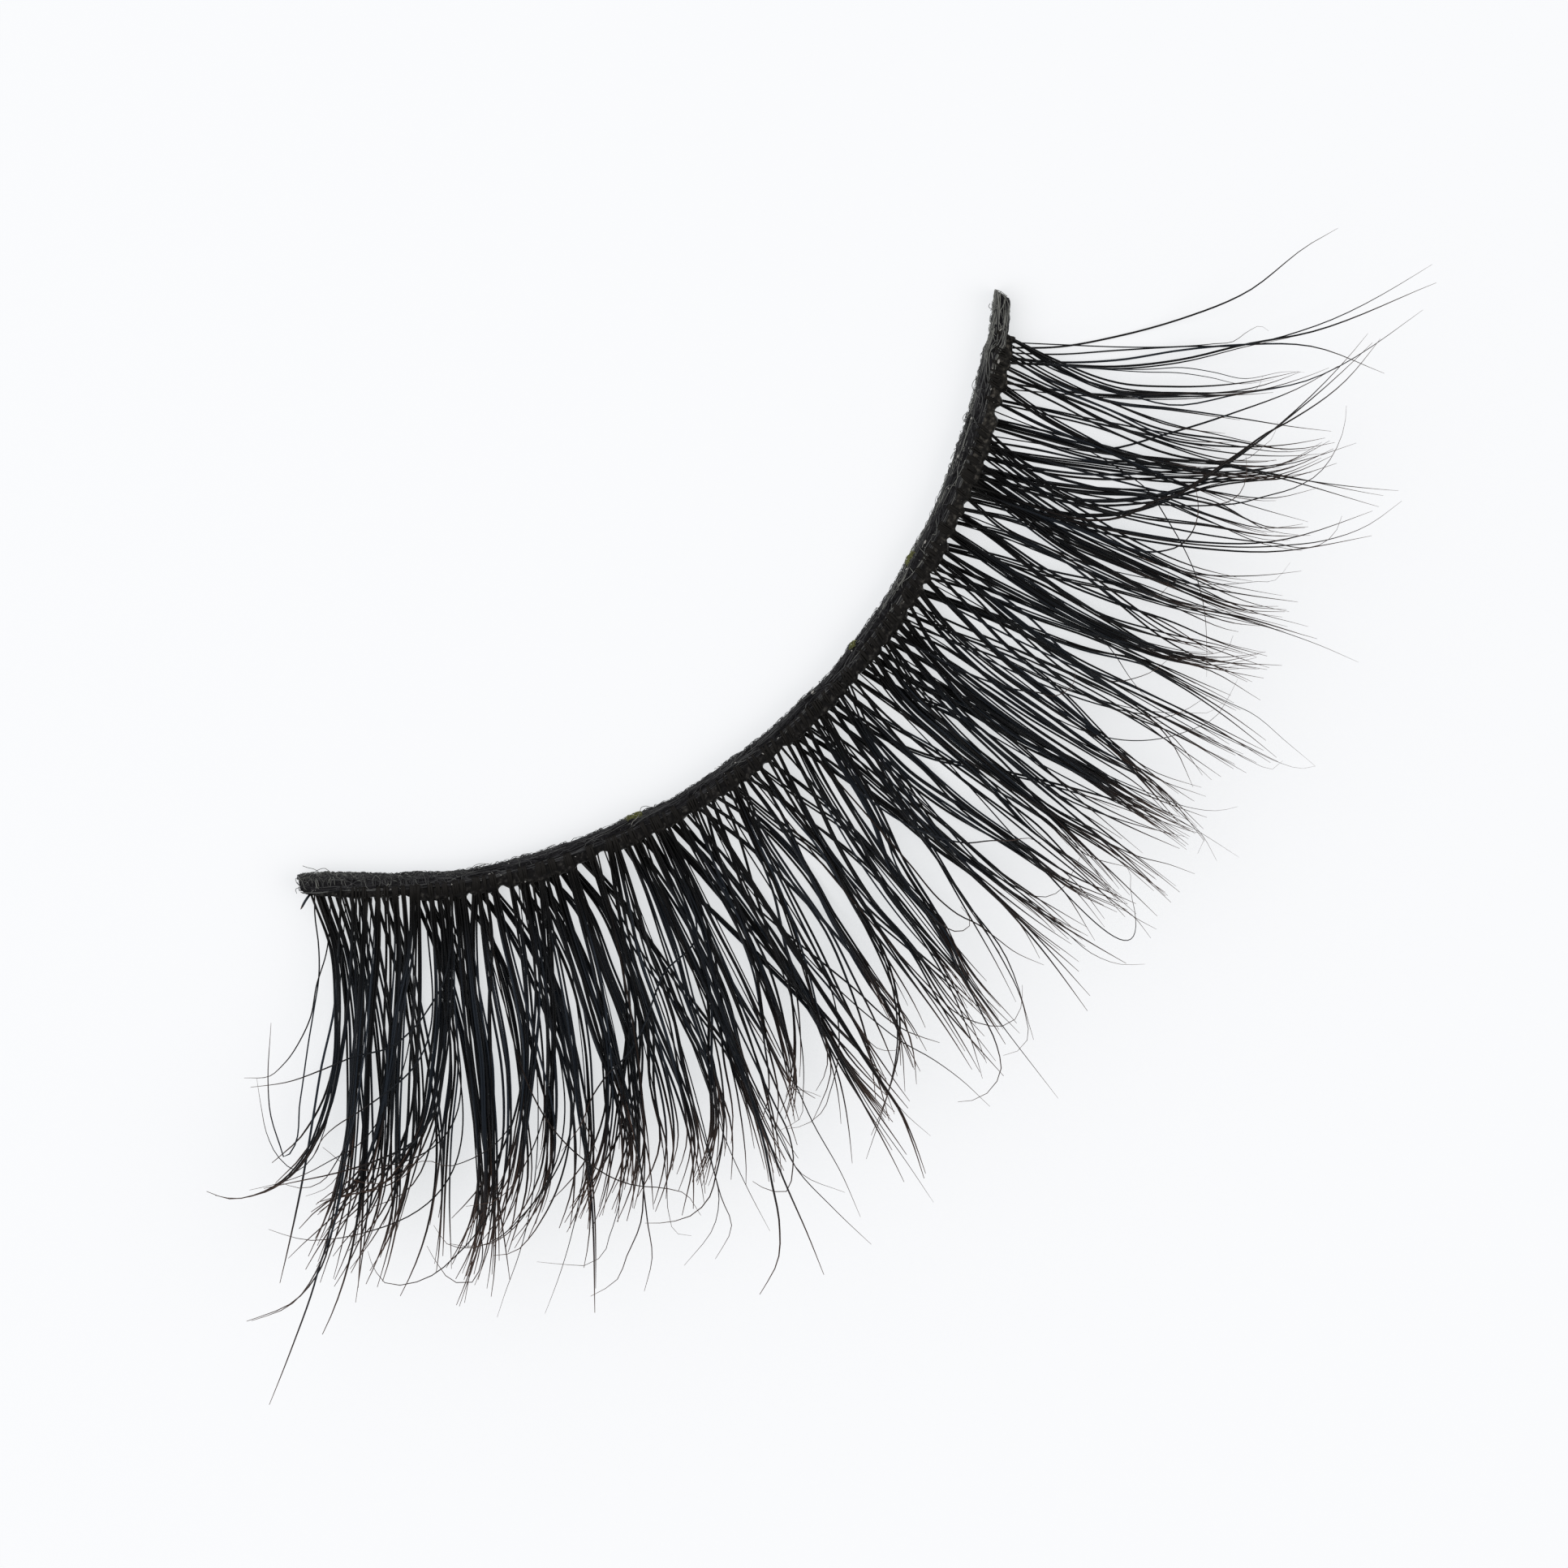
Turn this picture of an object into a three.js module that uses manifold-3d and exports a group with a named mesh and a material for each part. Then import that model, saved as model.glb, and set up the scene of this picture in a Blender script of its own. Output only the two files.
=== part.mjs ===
// A false eyelash strip: a curved cotton band that carries two crossing rows of curled lash locks.
// Millimetres, +Z up. The middle of the band's underside is the origin and rests on z = 0.
// +X runs along the strip, and the lashes point towards -Y and curl up.
import * as THREE from "three";
import { mergeVertices } from "three/addons/utils/BufferGeometryUtils.js";
import Module from "manifold-3d";

const wasm = await Module();
wasm.setup();

// Driving dimensions of the band
const EYELID_RADIUS = 20.4; // of the band's middle line, seen from above
const BAND_LENGTH = 32.8; // along that line
const BAND_DEPTH = 0.42; // of the cotton, from its back to its front
const BAND_ROUNDING = 0.12; // of its two upper edges
const SEAM = 0.04; // clearance between the cotton and each row, and between the rows

// Driving dimensions of the lash rows
const ROOT_DEPTH = 0.2; // of the glued root strip, out from the cotton
const ROOT_COVER = 0.07; // of glue over and under the locks where they leave the strip
const LOCK_WIDTH = 0.85; // of a full lock where it is widest
const LOCK_THICKNESS = 0.26; // of a lock at its root
const LASH_REACH = 13; // of the longest lock, straight out from the band
const LIE_REACH = 4; // out from the band, where the lower locks touch the surface
const CURL_RISE = 4.8; // of the lower locks' tips over the surface
const SPREAD_RISE = 0.3; // by which the rows part further on their way to the tips

// Fineness of the facets
const BAND_STEPS = 44;
const CORNER_STEPS = 3;
const LOCK_STEPS = 6;
const LOCK_SIDES = 6;
const NUDGE = 0.01; // share of a lock's length over which its direction is taken

// Sizes that follow from the driving ones
const HALF_LENGTH = BAND_LENGTH / 2;
const ROW_HEIGHT = LOCK_THICKNESS + 2 * ROOT_COVER;
const ROW_PITCH = ROW_HEIGHT + SEAM;
const BAND_HEIGHT = ROW_PITCH + ROW_HEIGHT;
const ROOT_FROM = BAND_DEPTH / 2 + SEAM;
const ROOT_TO = ROOT_FROM + ROOT_DEPTH;
const ROOT_MIDDLE = (ROOT_FROM + ROOT_TO) / 2;

// The band from its left end, -1, to its right end, 1, where the last tenth is a bare stub. Shares of
// BAND_DEPTH: how far the strip strays outwards from the arc, and how far the cotton reaches back.
const BAND_SECTIONS = [
  { along: -1.0, stray: -0.22, back: 0.56 },
  { along: -0.82, stray: 0.0, back: 0.66 },
  { along: 0.0, stray: 0.0, back: 0.5 },
  { along: 0.91, stray: 0.0, back: 0.5 },
  { along: 1.0, stray: 0.45, back: 0.42 },
];

// The glue of the root strips starts and stops here, as shares of half the band.
const GLUE_START_SHARE = -0.985;
const GLUE_STOP_SHARE = 0.965;

// How a lock's width and thickness change from its root, 0, to its tip, 1
const TAPER = [
  { along: 0.0, width: 0.62, thickness: 1.0 },
  { along: 0.35, width: 1.0, thickness: 0.92 },
  { along: 0.75, width: 0.6, thickness: 0.7 },
  { along: 1.0, width: 0.12, thickness: 0.35 },
];

// One row for each spike of the fringe, from left to right. A lower lock from the left root and an upper lock
// from the right root meet in it. Root and tip are shares of half the band, reach is a share of LASH_REACH,
// sweep is the tip's lean in degrees, to the right where positive, and fill is a share of LOCK_WIDTH.
const SPIKES = [
  { tip: -0.985, reach: 0.76, sweep: -32, left: -0.96, right: -0.925, fill: 0.6 },
  { tip: -0.915, reach: 0.93, sweep: -15, left: -0.94, right: -0.885, fill: 1.1 },
  { tip: -0.83, reach: 0.96, sweep: -8, left: -0.88, right: -0.8, fill: 1.15 },
  { tip: -0.755, reach: 1.0, sweep: -20, left: -0.84, right: -0.76, fill: 1.15 },
  { tip: -0.7, reach: 0.94, sweep: -3, left: -0.77, right: -0.685, fill: 1.1 },
  { tip: -0.665, reach: 0.88, sweep: -30, left: -0.73, right: -0.585, fill: 0.8 },
  { tip: -0.58, reach: 0.89, sweep: -10, left: -0.655, right: -0.555, fill: 1.05 },
  { tip: -0.51, reach: 0.89, sweep: -8, left: -0.62, right: -0.49, fill: 1.15 },
  { tip: -0.415, reach: 0.88, sweep: -20, left: -0.52, right: -0.37, fill: 1.1 },
  { tip: -0.335, reach: 0.92, sweep: -3, left: -0.435, right: -0.315, fill: 1.0 },
  { tip: -0.277, reach: 0.82, sweep: -5, left: -0.38, right: -0.23, fill: 0.85 },
  { tip: -0.207, reach: 0.83, sweep: 0, left: -0.285, right: -0.2, fill: 0.9 },
  { tip: -0.177, reach: 0.93, sweep: -3, left: -0.25, right: -0.16, fill: 0.8 },
  { tip: -0.122, reach: 0.8, sweep: -8, left: -0.2, right: -0.075, fill: 0.75 },
  { tip: -0.067, reach: 0.91, sweep: 0, left: -0.145, right: -0.03, fill: 0.95 },
  { tip: -0.015, reach: 0.95, sweep: -5, left: -0.08, right: 0.045, fill: 1.0 },
  { tip: 0.006, reach: 0.89, sweep: -18, left: -0.03, right: 0.085, fill: 0.5 },
  { tip: 0.134, reach: 0.88, sweep: 6, left: 0.012, right: 0.105, fill: 0.85 },
  { tip: 0.192, reach: 0.97, sweep: 3, left: 0.073, right: 0.207, fill: 0.95 },
  { tip: 0.244, reach: 0.98, sweep: 0, left: 0.128, right: 0.293, fill: 0.95 },
  { tip: 0.28, reach: 0.91, sweep: 0, left: 0.183, right: 0.317, fill: 0.6 },
  { tip: 0.323, reach: 0.95, sweep: 0, left: 0.229, right: 0.372, fill: 1.0 },
  { tip: 0.351, reach: 0.85, sweep: -3, left: 0.299, right: 0.415, fill: 0.7 },
  { tip: 0.421, reach: 0.77, sweep: 5, left: 0.36, right: 0.457, fill: 0.9 },
  { tip: 0.482, reach: 0.89, sweep: 0, left: 0.409, right: 0.506, fill: 0.95 },
  { tip: 0.518, reach: 0.85, sweep: 5, left: 0.445, right: 0.567, fill: 0.8 },
  { tip: 0.567, reach: 0.89, sweep: 8, left: 0.488, right: 0.616, fill: 0.85 },
  { tip: 0.625, reach: 0.89, sweep: 5, left: 0.549, right: 0.689, fill: 0.95 },
  { tip: 0.707, reach: 0.86, sweep: 14, left: 0.61, right: 0.732, fill: 0.8 },
  { tip: 0.793, reach: 0.78, sweep: 15, left: 0.689, right: 0.799, fill: 1.0 },
  { tip: 0.851, reach: 0.85, sweep: 2, left: 0.75, right: 0.872, fill: 0.75 },
  { tip: 0.927, reach: 0.84, sweep: 14, left: 0.811, right: 0.902, fill: 0.7 },
  { tip: 0.963, reach: 0.8, sweep: 15, left: 0.89, right: 0.915, fill: 0.5 },
];

const COTTON = new THREE.MeshStandardMaterial({ color: 0x141416, roughness: 0.9, metalness: 0 });
const LASHES = new THREE.MeshStandardMaterial({ color: 0x0b0d12, roughness: 0.4, metalness: 0 });

// The value of one column of a table at a place between its rows
function between(table, column, along) {
  const after = table.findIndex((row) => row.along >= along);
  if (after <= 0) return table.at(after)[column];
  const [a, b] = [table[after - 1], table[after]];
  return THREE.MathUtils.lerp(a[column], b[column], (along - a.along) / (b.along - a.along));
}

// A point of the plan: along the strip from its middle, and out from the band's middle line
function onArc(along, out) {
  const stray = BAND_DEPTH * between(BAND_SECTIONS, "stray", along / HALF_LENGTH);
  const angle = along / EYELID_RADIUS;
  const radius = EYELID_RADIUS + out + stray;
  return new THREE.Vector2(radius * Math.sin(angle), EYELID_RADIUS - radius * Math.cos(angle));
}

// Moves every vertex of a closed geometry and gives the result as a solid.
function bent(geometry, move) {
  geometry.deleteAttribute("normal");
  geometry.deleteAttribute("uv");
  const blank = mergeVertices(geometry, 1e-5);
  const position = blank.attributes.position;
  for (let i = 0; i < position.count; i += 1) {
    const point = move(new THREE.Vector3().fromBufferAttribute(position, i));
    position.setXYZ(i, point.x, point.y, point.z);
  }
  return new wasm.Manifold(
    new wasm.Mesh({
      numProp: 3,
      vertProperties: position.array,
      triVerts: new Uint32Array(blank.index.array),
    }),
  );
}

// A bar along the arc, with a section drawn in x (out from the arc) and y (up). The section is extruded over a
// unit length, which is laid from the stop of the bar back to its start.
function barOnArc(section, start, stop, widen) {
  const blank = new THREE.ExtrudeGeometry(section, {
    depth: 1,
    steps: BAND_STEPS,
    curveSegments: CORNER_STEPS,
    bevelEnabled: false,
  });
  return bent(blank, (point) => {
    const along = THREE.MathUtils.lerp(stop, start, point.z) * HALF_LENGTH;
    const plan = onArc(along, widen(point.x, along / HALF_LENGTH));
    return new THREE.Vector3(plan.x, plan.y, point.y);
  });
}

// The cotton's section: a flat underside to glue and a rounded top
function cottonSection() {
  const half = BAND_DEPTH / 2;
  const rounding = Math.min(BAND_ROUNDING, half);
  const top = BAND_HEIGHT - rounding;
  const section = new THREE.Shape();
  section.moveTo(-half, 0);
  section.lineTo(half, 0);
  section.lineTo(half, top);
  section.absarc(half - rounding, top, rounding, 0, Math.PI / 2);
  section.lineTo(rounding - half, BAND_HEIGHT);
  section.absarc(rounding - half, top, rounding, Math.PI / 2, Math.PI);
  return section;
}

function cottonBand() {
  const front = BAND_DEPTH / 2;
  return barOnArc(cottonSection(), -1, 1, (out, along) => {
    const depth = front + BAND_DEPTH * between(BAND_SECTIONS, "back", along);
    return front - ((front - out) * depth) / BAND_DEPTH;
  });
}

// The strip of glue that holds a row's roots against the cotton
function rootStrip(floor) {
  const section = new THREE.Shape();
  section.moveTo(ROOT_FROM, floor);
  section.lineTo(ROOT_TO, floor);
  section.lineTo(ROOT_TO, floor + ROW_HEIGHT);
  section.lineTo(ROOT_FROM, floor + ROW_HEIGHT);
  return barOnArc(section, GLUE_START_SHARE, GLUE_STOP_SHARE, (out) => out);
}

// Height of the lower locks' underside over the surface: down to it, and then up in a curl
function undersideAt(out) {
  const settle = Math.max(0, 1 - out / LIE_REACH);
  const curl = Math.max(0, out - LIE_REACH) / (LASH_REACH - LIE_REACH);
  return ROOT_COVER * settle ** 2 + CURL_RISE * curl ** 2;
}

// A lock from its root to the tip of its spike: it leaves the band at a lean, straightens and sweeps at the tip.
function lock(spike, root, floor, spread) {
  const reach = spike.reach * LASH_REACH;
  const swept = (Math.tan(THREE.MathUtils.degToRad(spike.sweep)) * reach) / 3;
  const across = (spike.tip - root) * HALF_LENGTH - swept;
  const outAt = (share) => THREE.MathUtils.lerp(ROOT_MIDDLE, reach, share);
  const planAt = (share) =>
    onArc(root * HALF_LENGTH + across * (1 - (1 - share) ** 3) + swept * share ** 3, outAt(share));

  const blank = new THREE.CylinderGeometry(1, 1, 1, LOCK_SIDES, LOCK_STEPS);
  blank.rotateY(Math.PI / LOCK_SIDES);
  const flat = Math.cos(Math.PI / LOCK_SIDES);
  return bent(blank, (point) => {
    const share = point.y + 0.5;
    const ahead = planAt(share + NUDGE).sub(planAt(share - NUDGE)).normalize();
    const width = LOCK_WIDTH * spike.fill * between(TAPER, "width", share);
    const thickness = LOCK_THICKNESS * between(TAPER, "thickness", share);
    const plan = planAt(share);
    plan.x += (ahead.y * point.x * width) / 2;
    plan.y -= (ahead.x * point.x * width) / 2;
    const under = undersideAt(outAt(share)) + floor + (spread * outAt(share)) / LASH_REACH;
    return new THREE.Vector3(plan.x, plan.y, under + (thickness * (point.z / flat + 1)) / 2);
  });
}

// A row: its root strip fused with its locks
function lashRow(side, floor, spread) {
  const locks = SPIKES.map((spike) => lock(spike, spike[side], floor, spread));
  return locks.reduce((row, next) => row.add(next), rootStrip(floor));
}

function piece(name, solid, material) {
  const { numProp, vertProperties, triVerts } = solid.getMesh();
  const geometry = new THREE.BufferGeometry();
  geometry.setAttribute("position", new THREE.BufferAttribute(vertProperties, numProp));
  geometry.setIndex(new THREE.BufferAttribute(triVerts, 1));
  geometry.computeVertexNormals();
  const mesh = new THREE.Mesh(geometry, material);
  mesh.name = name;
  return mesh;
}

const eyelash = new THREE.Group();
eyelash.add(piece("cotton_band", cottonBand(), COTTON));
eyelash.add(piece("lower_lash_row", lashRow("left", 0, 0), LASHES));
eyelash.add(piece("upper_lash_row", lashRow("right", ROW_PITCH, SPREAD_RISE), LASHES));

export default eyelash;
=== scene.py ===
# %% [markdown]
# # A false eyelash strip, hair by hair
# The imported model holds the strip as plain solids: a cotton band and two rows of fused locks.
# This lesson dresses them. Each lock becomes a bundle of single tapering hairs, the band becomes
# twisted yarn with fuzz and specks of dried glue, and a pale table with soft light carries it all.
# The frame is loaded first, because every new piece takes its place from it.

# %% Load the frame
import math

import bpy
import numpy as np
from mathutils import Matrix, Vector, noise


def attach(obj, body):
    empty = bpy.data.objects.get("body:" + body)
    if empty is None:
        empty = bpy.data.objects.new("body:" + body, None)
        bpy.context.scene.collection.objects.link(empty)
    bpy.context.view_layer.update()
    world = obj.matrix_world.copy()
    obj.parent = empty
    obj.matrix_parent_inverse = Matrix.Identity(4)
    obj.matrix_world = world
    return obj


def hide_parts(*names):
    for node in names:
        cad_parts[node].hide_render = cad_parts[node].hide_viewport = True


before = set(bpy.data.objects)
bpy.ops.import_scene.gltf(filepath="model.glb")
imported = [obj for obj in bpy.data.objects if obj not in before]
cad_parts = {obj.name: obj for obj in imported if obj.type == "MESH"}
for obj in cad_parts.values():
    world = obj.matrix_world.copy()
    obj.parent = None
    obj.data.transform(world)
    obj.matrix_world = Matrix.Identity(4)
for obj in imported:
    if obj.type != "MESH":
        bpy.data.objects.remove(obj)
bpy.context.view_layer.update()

print("frame nodes:", sorted(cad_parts))

# %% [markdown]
# ## The sizes that everything follows
# Hairs are thin, so it helps to think in millimetres and to keep one factor that turns them into
# Blender's metres. The curved band is easiest to describe in its own two directions: along the arc
# from its middle, and out from its middle line, the way the lashes point. A small function turns
# such a pair, with a height, into a point of the row's frame.

# %% Sizes and the map from the band's own directions
MM = 0.001
EYELID_RADIUS = 20.4
HALF_BAND = 16.4
BAND_HEIGHT = 0.84
ROW_PITCH = 0.44
LOCK_THICKNESS = 0.26
LASH_REACH = 13
LIE_REACH = 4
CURL_RISE = 4.8
END_RISE = 0.5
SPREAD_RISE = 0.3
ROOT_COVER = 0.07


def on_arc(along, out, height):
    """Points in metres from places in mm along the band, out from it and above the table."""
    angle = along / EYELID_RADIUS
    radius = EYELID_RADIUS + out
    return MM * np.stack([radius * np.sin(angle), EYELID_RADIUS - radius * np.cos(angle), height], axis=-1)


def row_height(out):
    """Height in mm of a lower lock's underside: down to the table, then up in a curl that levels off."""
    settle = np.clip(1 - out / LIE_REACH, 0, 1)
    curl = np.clip((out - LIE_REACH) / (LASH_REACH - LIE_REACH), 0, None)
    beyond = END_RISE * (1 - np.exp(-2 * np.clip(curl - 1, 0, None) / END_RISE))
    return ROOT_COVER * settle**2 + CURL_RISE * (np.minimum(curl, 1) ** 2 + beyond)


print("tips rise to", row_height(LASH_REACH), "mm")

# %% [markdown]
# ## One mesh from many hairs
# A hair is a thin tube that tapers to a point. Blender could draw it as a curve with a bevel or as
# hair curves, but the piece has to leave as a plain mesh, and hundreds of separate objects would be
# slow. So the rings of all the hairs of a piece are worked out as one array and joined in one mesh.
# Its UV map carries two facts for the material: a tone for the hair, which sets a painted cool sheen
# or a brown, and the share of its length.

# %% A mesh of tubes
UP = np.array([0.0, 0.0, 1.0])


def joined_mesh(name, points, faces, tones, shares):
    """A smooth piece from points (n, 3) and faces, whose UV map holds a tone and a share a point."""
    mesh = bpy.data.meshes.new(name)
    mesh.from_pydata(points.tolist(), [], faces)
    corner = np.zeros(len(mesh.loops), np.int32)
    mesh.loops.foreach_get("vertex_index", corner)
    uv = np.stack([tones[corner], shares[corner]], axis=-1).astype(np.float32)
    mesh.uv_layers.new(name="strand").data.foreach_set("uv", uv.ravel())
    mesh.shade_smooth()
    piece = bpy.data.objects.new(name, mesh)
    bpy.context.scene.collection.objects.link(piece)
    print(name, sum(len(face) - 2 for face in faces), "triangles")
    return piece


def tube_mesh(name, paths, radii, tones, shares, sides):
    """Closed tubes along paths (tubes, rings, 3) in metres, with radii in mm, tones and shares."""
    tubes, rings, _ = paths.shape
    ahead = np.gradient(paths, axis=1)
    ahead /= np.linalg.norm(ahead, axis=2, keepdims=True)
    side = np.cross(ahead, UP)
    side /= np.linalg.norm(side, axis=2, keepdims=True)
    lift = np.cross(side, ahead)
    turn = np.linspace(0, 2 * math.pi, sides, endpoint=False)[:, None]
    circle = np.cos(turn) * side[:, :, None, :] + np.sin(turn) * lift[:, :, None, :]
    points = paths[:, :, None, :] + MM * radii[:, :, None, None] * circle

    index = np.arange(tubes * rings * sides).reshape(tubes, rings, sides)
    near, far = index[:, :-1], index[:, 1:]
    walls = np.stack([near, far, np.roll(far, -1, axis=2), np.roll(near, -1, axis=2)], axis=-1)
    faces = walls.reshape(-1, 4).tolist() + index[:, 0].tolist() + index[:, -1, ::-1].tolist()
    return joined_mesh(
        name, points.reshape(-1, 3), faces,
        np.repeat(tones, rings * sides), np.repeat(np.tile(shares, tubes), sides),
    )
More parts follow.
